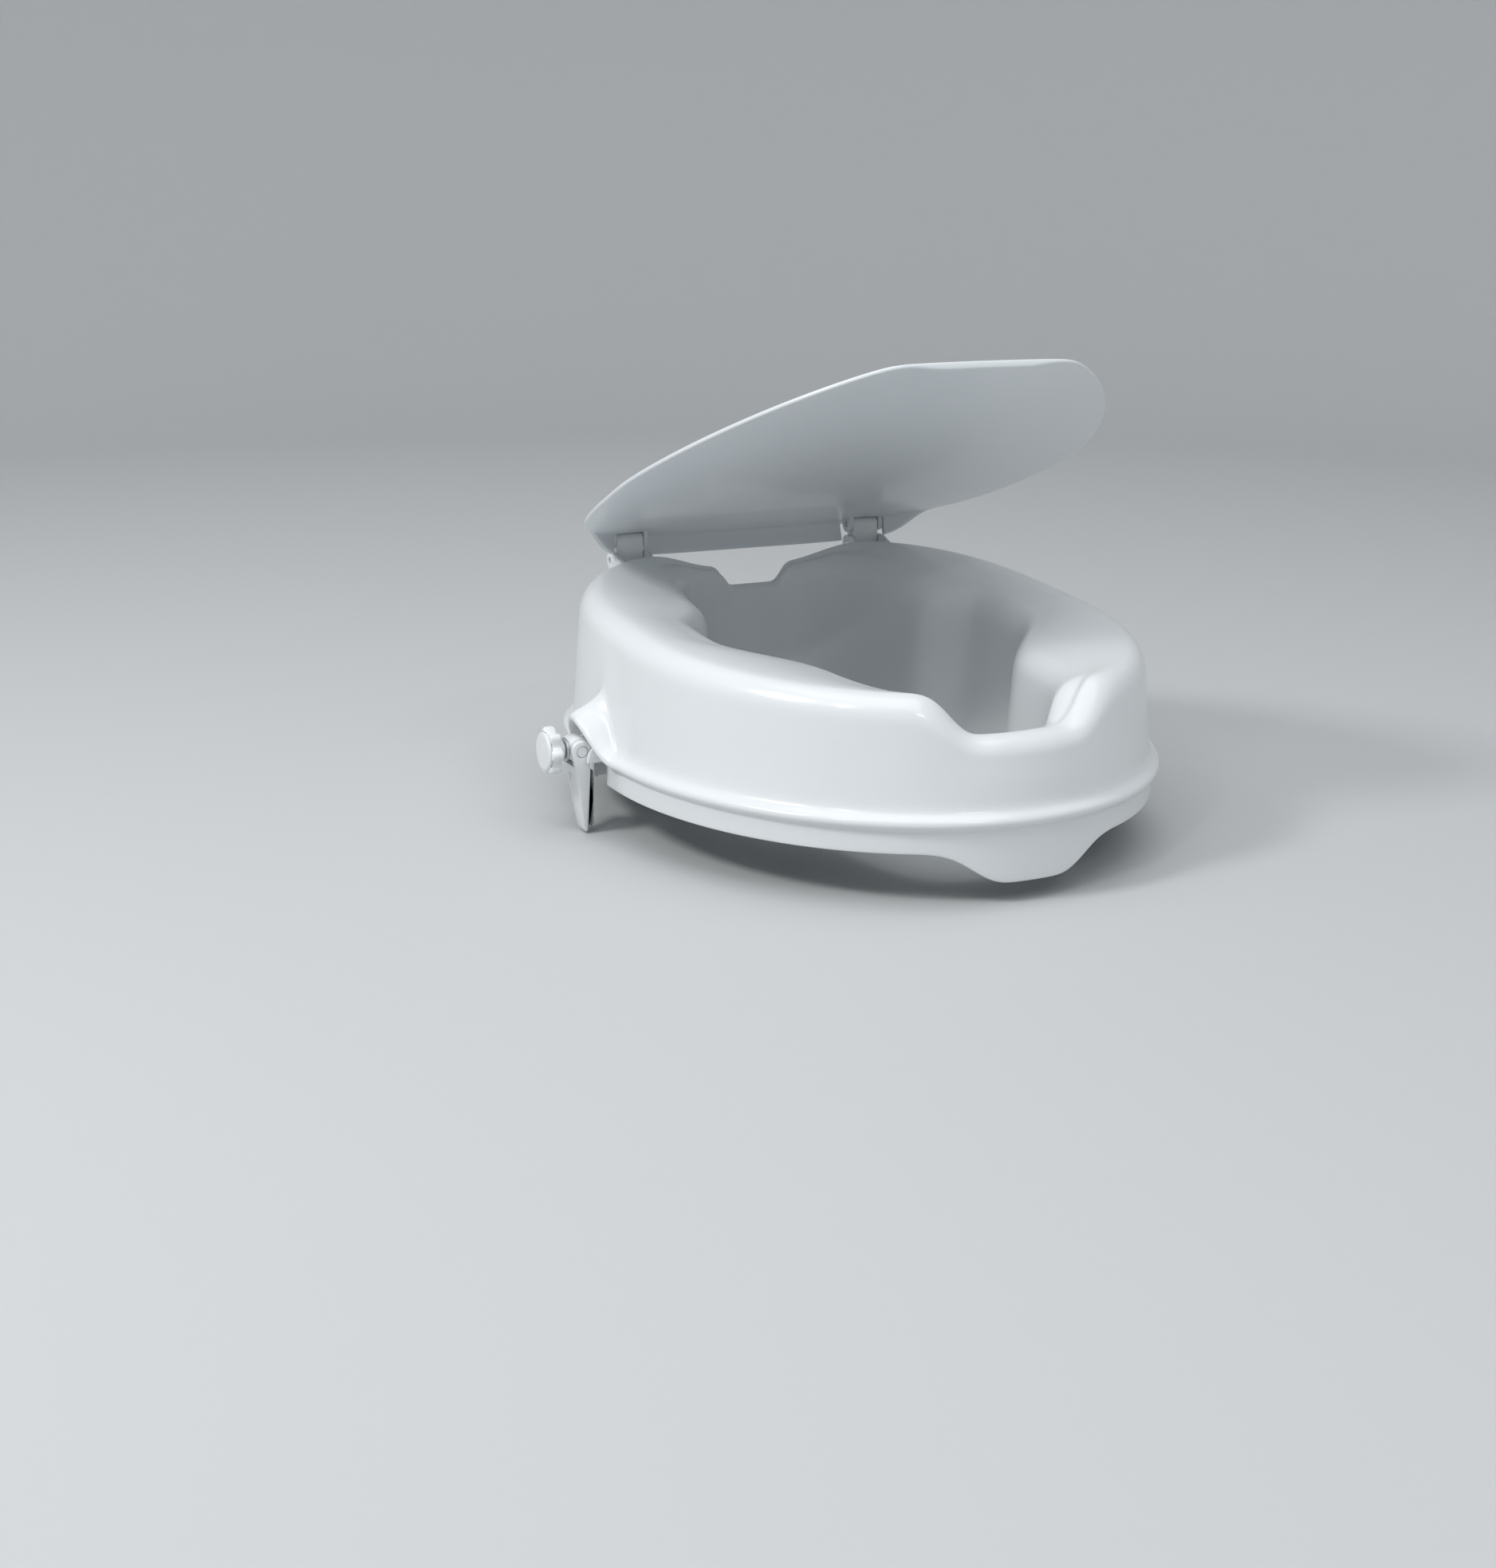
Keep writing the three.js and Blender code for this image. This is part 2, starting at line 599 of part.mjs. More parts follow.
/** The lobed knob: a hub towards the barrel, lobes, and a shallow seat for its cap. */
function knob() {
  const lobed = Array.from({ length: knobLobes * 6 }, (_, i) => {
    const angle = i / (knobLobes * 6) * 2 * Math.PI;
    const radius = knobRadius - 1.6 + 1.6 * Math.cos(knobLobes * angle);
    return new THREE.Vector2(radius * Math.cos(angle), radius * Math.sin(angle));
  });
  const disc = new THREE.ExtrudeGeometry(new THREE.Shape(lobed), {
    depth: knobThick - 2.4, bevelEnabled: true, bevelThickness: 1.2, bevelSize: 1.2, bevelOffset: -1.2, bevelSegments: 1,
  });
  disc.rotateY(Math.PI / 2);
  disc.translate(knobBack + 1.2, 0, 0);
  const hub = rod('x', 5.8, knobStart, knobBack + 2);
  const seat = rod('x', capRadius + gap, knobBack + knobThick - 1, knobBack + knobThick + 5, [0, 0, 0], 36);
  const bore = rod('x', spindleRadius + gap, knobStart - 1, spindleOut + gap);
  return geometryOf(solid(disc).add(solid(hub)).subtract(solid(seat)).subtract(solid(bore)));
}

/** The round cap that closes the knob. */
function knobCap() {
  const base = knobBack + knobThick - 1 + gap;
  const profile = [[0, base], [capRadius, base], [capRadius, base + capThick - 1.1], [capRadius - 0.9, base + capThick - 0.3],
    [capRadius - 3, base + capThick], [0, base + capThick + 0.3]].map(([r, x]) => new THREE.Vector2(r, x));
  return new THREE.LatheGeometry(profile, 28).rotateZ(-Math.PI / 2);
}

/** The clamp screw. */
const spindle = () => rod('x', spindleRadius, -spindleIn, spindleOut);

/** A flat ring on the spindle. */
function ringOnSpindle(inner, outer, from, to) {
  const profile = [[inner, from], [outer, from], [outer, to], [inner, to], [inner, from]]
    .map(([r, x]) => new THREE.Vector2(r, x));
  return new THREE.LatheGeometry(profile, 20).rotateZ(-Math.PI / 2);
}

/** The square nut that the spindle screws into, caught in the body. */
function squareNut() {
  const half = nutFlats / 2;
  const from = pocketBack - pocketWall - nutThick - clampX;
  const nut = solid(box(from, from + nutThick - gap, -half, half, -half, half));
  return geometryOf(nut.subtract(solid(rod('x', spindleRadius + gap, from - 1, from + nutThick + 1))));
}

/** A rubber pad under the seat, its long side along the bowl's rim. */
const rimPad = () => box(-padWidth / 2, padWidth / 2, -padLength / 2, padLength / 2, 0, padThick);

// ---- the assembly ------------------------------------------------------------------------

function mesh(name, geometry, material, parent) {
  const part = new THREE.Mesh(geometry, material);
  part.name = name;
  parent.add(part);
  return part;
}

const group = new THREE.Group();
mesh('seat_body', seatBody(), white(), group);
for (const place of padPlaces) {
  const pad = mesh(`rim_pad_${place.name}`, rimPad(), rubber(), group);
  pad.position.set(place.x, place.y, 0);
  pad.rotation.z = place.turn;
}

const lidFrame = new THREE.Group();
lidFrame.position.set(0, hingeY, hingePinLow + hingePinPitch);
lidFrame.rotation.x = -rad(lidOpenAngle);
group.add(lidFrame);
mesh('lid', lidBody(), white(), lidFrame);

for (const [side, sign] of [['left', -1], ['right', 1]]) {
  const x = sign * hingeSpacing / 2;
  mesh(`hinge_link_${side}`, hingeLink(), white(), group).position.set(x, hingeY, hingePinLow);
  mesh(`seat_hinge_pin_${side}`, hingePin(), steel(), group).position.set(x, hingeY, hingePinLow);
  mesh(`lid_hinge_pin_${side}`, hingePin(), steel(), group)
    .position.set(x, hingeY, hingePinLow + hingePinPitch);

  const clamp = new THREE.Group();
  clamp.position.set(sign * clampX, clampY, clampZ);
  clamp.rotation.z = sign < 0 ? Math.PI : 0;
  group.add(clamp);
  const flat = barrelRadius - 1;
  mesh(`clamp_barrel_${side}`, barrel(), white(), clamp);
  mesh(`clamp_arm_${side}`, clampArm(), white(), clamp);
  mesh(`grip_pad_${side}`, gripPad(), rubber(), clamp);
  mesh(`clamp_knob_${side}`, knob(), white(), clamp);
  mesh(`knob_cap_${side}`, knobCap(), white(), clamp);
  mesh(`clamp_spindle_${side}`, spindle(), steel(), clamp);
  mesh(`thrust_washer_${side}`, ringOnSpindle(spindleRadius + gap, 7.5, flat + gap, flat + gap + 1.5), steel(), clamp);
  mesh(`retaining_ring_${side}`, ringOnSpindle(spindleRadius + gap, 6.5, -flat - gap - 1.2, -flat - gap), steel(), clamp);
  mesh(`captive_nut_${side}`, squareNut(), steel(), clamp);
}

export default group;
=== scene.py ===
# A raised toilet seat: a hollow white moulded ring that lifts the sitter by ten centimetres, a lid
# on two double-pin hinges, and a screw clamp on each side that grips the toilet bowl.
# Everything is modelled in millimetres and made metres when a piece is finished.

import math

import bmesh
import bpy
from mathutils import Matrix, Vector


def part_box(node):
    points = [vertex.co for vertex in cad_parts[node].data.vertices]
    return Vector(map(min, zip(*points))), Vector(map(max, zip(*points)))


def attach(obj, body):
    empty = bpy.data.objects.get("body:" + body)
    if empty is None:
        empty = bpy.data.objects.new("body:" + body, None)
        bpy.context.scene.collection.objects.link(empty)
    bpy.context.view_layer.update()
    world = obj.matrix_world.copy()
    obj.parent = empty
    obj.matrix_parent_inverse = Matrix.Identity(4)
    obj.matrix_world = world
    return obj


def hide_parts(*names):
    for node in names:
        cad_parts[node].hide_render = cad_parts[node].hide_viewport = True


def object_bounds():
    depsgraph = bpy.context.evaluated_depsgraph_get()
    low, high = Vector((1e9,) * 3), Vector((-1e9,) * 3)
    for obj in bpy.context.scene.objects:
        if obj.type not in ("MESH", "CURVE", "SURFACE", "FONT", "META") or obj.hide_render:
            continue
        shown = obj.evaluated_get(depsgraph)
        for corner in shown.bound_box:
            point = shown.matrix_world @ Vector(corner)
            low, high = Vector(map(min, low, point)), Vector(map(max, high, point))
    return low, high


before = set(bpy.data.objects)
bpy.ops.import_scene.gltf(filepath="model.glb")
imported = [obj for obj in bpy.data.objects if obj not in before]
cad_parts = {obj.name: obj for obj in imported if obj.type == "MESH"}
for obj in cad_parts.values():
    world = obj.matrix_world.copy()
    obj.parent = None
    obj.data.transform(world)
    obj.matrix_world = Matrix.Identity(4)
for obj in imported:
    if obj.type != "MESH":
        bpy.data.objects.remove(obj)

cad_box = [list(corner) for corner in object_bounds()]

MM = 0.001

# ---- Camera, floor and light --------------------------------------------------------------------
# A plain studio: a pale round floor that curves up into a low wall, a wide soft light overhead, a
# window on the left whose light the open lid cuts off from the rear of the seat, and two narrow
# lights whose reflections run along the rounded edges of the moulding.

eye = bpy.data.objects.new("camera", bpy.data.cameras.new("camera"))
bpy.context.scene.collection.objects.link(eye)
bpy.context.scene.camera = eye
eye.location = Vector((-684.0, -1240.2, 387.2)) * MM
eye.rotation_euler = [math.radians(angle) for angle in (76.41, -0.59, -25.70)]
eye.data.lens = 51.15
eye.data.shift_y = -0.06
eye.data.clip_start = 0.05
eye.data.clip_end = 30

lowest = cad_box[0][2]
FLOOR_RADIUS = 2.0
COVE_RADIUS = 0.9
WALL_TOP = 1.9
studio = bmesh.new()
profile = [(0, 0), (FLOOR_RADIUS, 0)]
for degrees in range(10, 91, 10):
    up = math.radians(degrees)
    profile.append((FLOOR_RADIUS + COVE_RADIUS * math.sin(up), COVE_RADIUS * (1 - math.cos(up))))
profile.append((FLOOR_RADIUS + COVE_RADIUS, WALL_TOP))
corners = [studio.verts.new((radius, 0, height)) for radius, height in profile]
sides = [studio.edges.new(pair) for pair in zip(corners, corners[1:])]
bmesh.ops.spin(studio, geom=corners + sides, cent=(0, 0, 0), axis=(0, 0, 1),
               angle=2 * math.pi, steps=72, use_merge=True)
bmesh.ops.remove_doubles(studio, verts=studio.verts, dist=0.0001)
bmesh.ops.recalc_face_normals(studio, faces=studio.faces)
bmesh.ops.translate(studio, verts=studio.verts, vec=(0, 0, lowest - 1 * MM))
floor_mesh = bpy.data.meshes.new("floor")
studio.to_mesh(floor_mesh)
studio.free()
floor_mesh.shade_smooth()
floor = bpy.data.objects.new("floor", floor_mesh)
bpy.context.scene.collection.objects.link(floor)

paint = bpy.data.materials.new("floor_paint")
paint.use_nodes = True
paint.node_tree.nodes["Principled BSDF"].inputs["Base Color"].default_value = (0.56, 0.57, 0.575, 1)
paint.node_tree.nodes["Principled BSDF"].inputs["Roughness"].default_value = 0.7
floor_mesh.materials.append(paint)

sky = bpy.data.worlds.new("studio")
sky.use_nodes = True
sky.node_tree.nodes["Background"].inputs["Color"].default_value = (0.93, 0.965, 1, 1)
sky.node_tree.nodes["Background"].inputs["Strength"].default_value = 0.42
bpy.context.scene.world = sky
bpy.context.scene.view_settings.view_transform = "Standard"


def lamp(name, place, target, width, height, watts, colour=(1, 1, 1)):
    """A soft rectangular light at a place, turned to face a target; places are in millimetres."""
    light = bpy.data.lights.new(name, "AREA")
    light.shape = "RECTANGLE"
    light.size = width * MM
    light.size_y = height * MM
    light.energy = watts
    light.color = colour
    holder = bpy.data.objects.new(name, light)
    holder.location = Vector(place) * MM
    aim = (Vector(target) - Vector(place)).to_track_quat("-Z", "Y")
    holder.rotation_euler = aim.to_euler()
    bpy.context.scene.collection.objects.link(holder)


lamp("overhead", (-200, -500, 2600), (0, 0, 0), 2600, 2600, 34, (0.97, 0.99, 1))
lamp("window", (-1750, -200, 1600), (0, 0, 60), 420, 420, 20)
lamp("strip_left", (-1300, -900, 1500), (-60, -60, 80), 40, 400, 2.5)
lamp("strip_front", (150, -1700, 1500), (20, -100, 60), 420, 40, 2.5)

# ---- The seat body ------------------------------------------------------------------------------
# One hollow polypropylene moulding. Its section is swept round the opening: a plain skirt, a bead,
# a tall wall, the sitting surface with a scoop at the front and a valley at the rear, and a splash
# guard that hangs into the bowl. Beads and hoods give the clamps a roof.

seat_low, seat_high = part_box("seat_body")
SEAT_HALF = 180
SEAT_FRONT = -seat_low.y / MM
SEAT_REAR = seat_high.y / MM
FRONT_FULLNESS = 2.0
REAR_FULLNESS = 3.0
SHELL_WALL = 3.2

SEAT_RISE = 98.5
SEAT_SLOPE = 0.08
SEAT_CURVE = 0.00012
BEAD_HEIGHT = 17
SKIRT_BOTTOM = -1.5
SPLASH_DEPTH = 12

TONGUE_HALF = 60
TONGUE_DROP = 19
SCOOP_HALF = 58
SCOOP_FLOOR_HALF = 30
SCOOP_DEPTH = 24

VALLEY_HALF = 92
VALLEY_DEPTH = 15
NOTCH_HALF = 23
NOTCH_FLOOR = 87

OPENING_FRONT = 171
OPENING_REAR = 163
OPENING_FRONT_HALF = 63
OPENING_MIDDLE_HALF = 104
OPENING_REAR_HALF = 81

CLAMP_Y = 22
CLAMP_Z = 22
CLAMP_X = SEAT_HALF + 12
HOOD_HALF = 31
HOOD_RISE = 27
HOOD_REACH = 15
HOOD_ROOF = 7
RISE_SHARPNESS = 2.6
REACH_SHARPNESS = 1.3


def step(value, low, high):
    """0 below low, 1 above high and a soft S between them."""
    share = min(1.0, max(0.0, (value - low) / (high - low)))
    return share ** 3 * (share * (share * 6 - 15) + 10)


def mix(a, b, share):
    return a + (b - a) * share


def lower_of(a, b, soft):
    """The smaller of two values, with the corner between them rounded off."""
    return -soft * math.log(math.exp(-a / soft) + math.exp(-b / soft))


def power(value, exponent):
    return math.copysign(abs(value) ** exponent, value)


def egg(turn, half, front, rear, front_fullness, rear_fullness):
    """A superellipse whose front (-Y) and rear halves have their own length and fullness."""
    ahead = math.sin(turn) < 0
    exponent = 2 / (front_fullness if ahead else rear_fullness)
    x = half * power(math.cos(turn), exponent)
    y = (front if ahead else rear) * power(math.sin(turn), exponent)
    return x, y


def outline(turn, inset):
    """The seat's plan at the bead, moved inwards by an inset."""
    return egg(turn, SEAT_HALF - inset, SEAT_FRONT - inset, SEAT_REAR - inset,
               FRONT_FULLNESS, REAR_FULLNESS)


def opening(turn):
    """The edge of the opening: wide in its middle, narrower in front and, by one step, behind."""
    x, y = egg(turn, 1, OPENING_FRONT, OPENING_REAR, 3.4, 3.4)
    half = mix(OPENING_FRONT_HALF, OPENING_MIDDLE_HALF, step(y, -98, -8))
    half -= (OPENING_MIDDLE_HALF - OPENING_REAR_HALF) * step(y, 29, 73)
    return x * half, y


def top_height(x, y):
    """Height of the sitting surface: its slope, the scoop in front, the valley and its notch."""
    level = SEAT_RISE + SEAT_SLOPE * y + SEAT_CURVE * y * y
    scoop = (1 - step(abs(x), SCOOP_FLOOR_HALF - 3, SCOOP_HALF + 3)) * step(-y, 96, 154)
    valley = (1 - step(abs(x), 16, VALLEY_HALF + 4)) * step(y, 96, 162)
    height = level - SCOOP_DEPTH * scoop - VALLEY_DEPTH * valley
    notch = (1 - step(abs(x), NOTCH_HALF - 1.5, NOTCH_HALF + 4.5)) * step(y, 140, 160)
    return mix(height, NOTCH_FLOOR, notch)


def hump(y, sharpness):
    """A hump over a clamp: 1 in its middle, 0 away from it, narrower as it is sharper."""
    across = abs(y - CLAMP_Y) / HOOD_HALF
    return (1 - across * across) ** sharpness if across < 1 else 0.0


def seat_section(turn):
    """The closed section of the shell at a turn, from the skirt over the top and back inside."""
    edge_x, edge_y = outline(turn, 4)
    shoulder = Vector(outline(turn, 10))
    inner = Vector(opening(turn))
    width = (inner - shoulder).length
    inward = (inner - shoulder) / width

    def across(distance, z):
        place = shoulder + inward * distance
        return place.x, place.y, z

    def around(inset, z):
        return (*outline(turn, inset), z)

    crown = lower_of(17, width * 0.42, 0.6)
    inner_round = lower_of(20, width * 0.38, 0.6)
    wall = min(SHELL_WALL, width * 0.3)
    fall = lower_of(7, width * 0.06, 0.4)
    crown_top = top_height(*across(crown, 0)[:2])
    lip_top = top_height(*across(width - inner_round, 0)[:2]) - fall

    tongue = (1 - step(abs(edge_x), TONGUE_HALF * 0.24, TONGUE_HALF + 3)) * (edge_y < 0)
    bottom = SKIRT_BOTTOM - TONGUE_DROP * tongue
    hood = hump(edge_y, RISE_SHARPNESS)
    bead = BEAD_HEIGHT + HOOD_RISE * hood
    reach = HOOD_REACH * hump(edge_y, REACH_SHARPNESS)
    roof = HOOD_ROOF * hood

    def over(inset):
        """The rounding between the wall and the sitting surface."""
        for degrees in (0, 18, 36, 54, 72):
            up = math.radians(degrees)
            yield across(crown - (crown - inset) * math.cos(up),
                         crown_top - crown + (crown - inset) * math.sin(up))

    def sitting(inset):
        """The sitting surface, which tips a little towards the opening."""
        for part in (0.0, 0.2, 0.4, 0.6, 0.8):
            distance = mix(crown, width - inner_round, part)
            here = top_height(*across(distance, 0)[:2])
            level = mix(crown_top, here, step(part, 0, 0.8))
            yield across(distance, level - fall * part * part - inset)

    def down(inset):
        """The rounding from the sitting surface into the opening."""
        for degrees in (90, 70, 50, 30, 10):
            up = math.radians(degrees)
            yield across(width - inner_round + (inner_round - inset) * math.cos(up),
                         lip_top - inner_round + (inner_round - inset) * math.sin(up))

    outside = [
        around(4.4, bottom),
        around(4, bottom + 0.8),
        around(4, mix(bottom, bead - 5.4, 0.5)),
        around(4, bead - 5.4),
        around(3.6, bead - 4.2),
        around(1.2 - reach, bead - 3.1),
        around(-0.4 - reach, bead - 1.2),
        around(-0.3 - reach, bead + 1.2),
        around(1.4 - reach, bead + 3.1),
        around(4.4 - reach * 0.4, bead + 5.0 + roof * 0.6),
        around(5.9, bead + 8.5 + roof * 1.1),
        around(6.6, bead + 13 + roof * 1.1),
        across(-2.4, mix(bead + 13 + roof, crown_top - crown, 0.4)),
        across(-1.0, mix(bead + 13 + roof, crown_top - crown, 0.75)),
        *over(0),
        *sitting(0),
        *down(0),
        across(width + 1.2, mix(lip_top, 0, 0.42)),
        across(width + 3, mix(lip_top, 0, 0.62)),
        across(width + 5.5, 4),
        across(width + 7.4, 1 - SPLASH_DEPTH),
        across(width + 7.2, -SPLASH_DEPTH),
    ]
    inside = [
        around(3.6 + wall, bottom),
        around(4 + wall, bottom + 0.8),
        around(6.6 + wall, bead + 13 + roof),
        *over(wall),
        *sitting(wall),
        *down(wall),
        across(width + 5.5 - wall, 4),
        across(width + 7.4 - wall, 1 - SPLASH_DEPTH),
        across(width + 7.9 - wall, -SPLASH_DEPTH),
    ]
    return outside + inside[::-1]


def skin(turns, rows, closed=False, capped=True):
    """A shape from rows of points: a ring is extruded from row to row, each point to its place.

    rows[r][t] is the place of turn t in row r. A closed shape joins its last row to its first;
    otherwise its two ends are filled.
    """
    shape = bmesh.new()
    turn_of = shape.verts.layers.int.new("turn")
    ring = bmesh.ops.create_circle(shape, segments=turns, radius=1)["verts"]
    for turn, vert in enumerate(ring):
        vert[turn_of] = turn
        vert.co = rows[0][turn]
    edges = list(shape.edges)
    first = list(edges)
    for row in rows[1:]:
        grown = bmesh.ops.extrude_edge_only(shape, edges=edges)["geom"]
        edges = [item for item in grown if isinstance(item, bmesh.types.BMEdge)]
        for vert in grown:
            if isinstance(vert, bmesh.types.BMVert):
                vert.co = row[vert[turn_of]]
    if closed:
        bmesh.ops.bridge_loops(shape, edges=first + edges)
    elif capped:
        bmesh.ops.contextual_create(shape, geom=first)
        bmesh.ops.contextual_create(shape, geom=edges)
    bmesh.ops.recalc_face_normals(shape, faces=shape.faces)
    return shape


def solid(shape, name="part"):
    """A bmesh as an object of its own."""
    mesh = bpy.data.meshes.new(name)
    shape.to_mesh(mesh)
    shape.free()
    made = bpy.data.objects.new(name, mesh)
    bpy.context.scene.collection.objects.link(made)
    return made


def settle(made):
    """Applies an object's modifiers to its mesh."""
    bpy.context.view_layer.update()
    ready = made.evaluated_get(bpy.context.evaluated_depsgraph_get())
    mesh = bpy.data.meshes.new_from_object(ready)
    made.modifiers.clear()
    made.data = mesh
    return made


def rounded(made, levels):
    """Smooths a cage with a subdivision surface."""
    smooth = made.modifiers.new("smooth", "SUBSURF")
    smooth.levels = levels
    smooth.render_levels = levels
    return settle(made)


def combine(made, tool, operation):
    """Joins another solid to this one, or cuts it away; the other one is used up."""
    knife = made.modifiers.new("combine", "BOOLEAN")
    knife.solver = "EXACT"
    knife.operation = operation
    knife.object = tool
    settle(made)
    bpy.data.objects.remove(tool)
    return made


def block(x0, x1, y0, y1, z0, z1, round_by=0.0, segments=2):
    """A box between two corners, with its edges rounded."""
    shape = bmesh.new()
    bmesh.ops.create_cube(shape, size=1)
    bmesh.ops.scale(shape, verts=shape.verts, vec=(x1 - x0, y1 - y0, z1 - z0))
    centre = ((x0 + x1) / 2, (y0 + y1) / 2, (z0 + z1) / 2)
    bmesh.ops.translate(shape, verts=shape.verts, vec=centre)
    if round_by:
        bmesh.ops.bevel(shape, geom=shape.edges[:], offset=round_by, segments=segments,
                        profile=0.5, affect="EDGES", material=-1)
    return shape


def plate(points, along, start, end, round_by=0.0, segments=2):
    """An outline extruded along X or Y: points are (y, z) for X and (x, z) for Y."""
    shape = bmesh.new()
    for a, b in points:
        shape.verts.new((start, a, b) if along == "X" else (a, start, b))
    face = bmesh.ops.contextual_create(shape, geom=shape.verts[:])["faces"]
    grown = bmesh.ops.extrude_face_region(shape, geom=face)["geom"]
    verts = [item for item in grown if isinstance(item, bmesh.types.BMVert)]
    push = (end - start, 0, 0) if along == "X" else (0, end - start, 0)
    bmesh.ops.translate(shape, verts=verts, vec=push)
    bmesh.ops.recalc_face_normals(shape, faces=shape.faces)
    if round_by:
        rim = [edge for edge in shape.edges if edge.calc_face_angle(0) > math.radians(40)]
        bmesh.ops.bevel(shape, geom=rim, offset=round_by, segments=segments,
                        profile=0.5, affect="EDGES", material=-1)
    return shape


def arc(x, y, radius, start, end, steps):
    """Points on an arc, from one angle in degrees to another."""
    angles = [math.radians(mix(start, end, i / steps)) for i in range(steps + 1)]
    return [(x + radius * math.cos(angle), y + radius * math.sin(angle)) for angle in angles]


def turned(profile, along, place, segments=48):
    """A round piece about an axis through a place: the profile is (radius, distance along it)."""
    rows = []
    for radius, distance in profile:
        ring = []
        for i in range(segments):
            angle = 2 * math.pi * i / segments
            a, b = max(radius, 0.01) * math.cos(angle), max(radius, 0.01) * math.sin(angle)
            spot = (distance, a, b) if along == "X" else (a, distance, b)
            ring.append(Vector(spot) + Vector(place))
        rows.append(ring)
    return skin(segments, rows)


class Value:
    """A number that varies over a surface. Sums of such numbers become Math nodes."""

    def __init__(self, socket):
        self.socket = socket

    def math(self, operation, *terms):
        tree = self.socket.id_data
        node = tree.nodes.new("ShaderNodeMath")
        node.operation = operation
        for place, term in zip(node.inputs, terms):
            if isinstance(term, Value):
                tree.links.new(term.socket, place)
            else:
                place.default_value = term
        return Value(node.outputs[0])

    def __add__(self, other):
        return self.math("ADD", self, other)

    def __mul__(self, other):
        return self.math("MULTIPLY", self, other)

    def __sub__(self, other):
        return self.math("SUBTRACT", self, other)

    def __rsub__(self, other):
        return self.math("SUBTRACT", other, self)

    def clipped(self, low, high):
        """0 below low, 1 above high and a straight ramp between them."""
        share = (self - low) * (1 / (high - low))
        return self.math("MINIMUM", self.math("MAXIMUM", share, 0.0), 1.0)

    __radd__ = __add__
    __rmul__ = __mul__


class Finish:
    """A material under construction; its nodes read the piece's own place in the seat."""

    def __init__(self, name):
        self.material = bpy.data.materials.new(name)
        self.material.use_nodes = True
        self.tree = self.material.node_tree
        self.shader = self.tree.nodes["Principled BSDF"]
        self.place = self.node("ShaderNodeTexCoord", {}, {}, "Object")

    def node(self, kind, settings, inputs, output=0):
        """Adds a node: its settings first, then the values or links of its sockets."""
        made = self.tree.nodes.new(kind)
        for name, setting in settings.items():
            if name == "stops":
                ramp = made.color_ramp.elements
                for stop, (position, colour) in zip((ramp[0], ramp[1]), setting):
                    stop.position = position
                    stop.color = (*colour, 1)
            else:
                setattr(made, name, setting)
        for name, value in inputs.items():
            if isinstance(value, Value):
                self.tree.links.new(value.socket, made.inputs[name])
            else:
                made.inputs[name].default_value = value
        return Value(made.outputs[output])

    def noise(self, scale, detail, roughness=0.5, stretch=(1, 1, 1)):
        """Cloudy variation, about 1 / scale metres from cloud to cloud."""
        spot = self.node("ShaderNodeMapping", {}, {"Vector": self.place, "Scale": stretch})
        return self.node("ShaderNodeTexNoise", {},
                         {"Vector": spot, "Scale": scale, "Detail": detail, "Roughness": roughness})

    def mixed(self, share, first, second):
        """A colour between two colours."""
        return self.node("ShaderNodeMix", {"data_type": "RGBA"},
                         {0: share, 6: first, 7: second}, 2)

    def bump(self, height, strength, distance):
        return self.node("ShaderNodeBump", {},
                         {"Height": height, "Strength": strength, "Distance": distance})

    def wear(self, **inputs):
        """Feeds the shader: names are its sockets with spaces as underscores."""
        for name, value in inputs.items():
            socket = self.shader.inputs[name.replace("_", " ")]
            if isinstance(value, Value):
                self.tree.links.new(value.socket, socket)
            else:
                socket.default_value = value
        return self.material


def moulded_plastic(name, colour, gloss, orange_peel):
    """Glossy moulded polypropylene: a faint orange peel, hairline scuffs and clouded roughness."""
    finish = Finish(name)
    clouds = finish.noise(9, 3)
    peel = finish.noise(420, 2)
    grain = finish.noise(2600, 2, 0.7)
    smears = finish.noise(14, 3, 0.5).clipped(0.42, 0.78)
    hairs = finish.noise(60, 5, 0.7, (1, 7, 3)).clipped(0.66, 0.8)
    worn = [channel * 0.965 for channel in colour]
    tone = finish.mixed(clouds.clipped(0.3, 0.75), (*colour, 1), (*worn, 1))
    roughness = gloss + smears * 0.04 + hairs * 0.05 + grain * 0.02
    return finish.wear(
        Base_Color=tone,
        Roughness=roughness,
        Normal=finish.bump(peel * 0.7 + grain * 0.12, orange_peel, 0.0004),
        Coat_Weight=0.2,
        Coat_Roughness=0.1,
        IOR=1.49,
    )


def finish_piece(made, name, body, slot, material, *nodes, sharp=32):
    """Names a finished solid, makes it metres, smooths its shading and ties it to the frame."""
    made.name = name
    mesh = made.data
    mesh.name = name
    mesh.transform(Matrix.Diagonal((MM, MM, MM, 1)))
    mesh.shade_smooth()
    mesh.set_sharp_from_angle(angle=math.radians(sharp))
    mesh.materials.clear()
    mesh.materials.append(material)
    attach(made, body)
    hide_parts(*(nodes or (name,)))
    return made


shell_white = moulded_plastic("shell_white", (0.80, 0.825, 0.84), 0.20, 0.08)

SEAT_TURNS = 104
turns = []
for i in range(SEAT_TURNS):
    # the turns crowd together at the sides, where the hoods are, and at the two ends
    angle = -2 * math.pi * i / SEAT_TURNS
    turns.append(angle - 0.145 * math.sin(4 * angle))
sections = [seat_section(turn) for turn in turns]
rows = [[section[level] for section in sections] for level in range(len(sections[0]))]
seat = rounded(solid(skin(SEAT_TURNS, rows, closed=True)), 2)

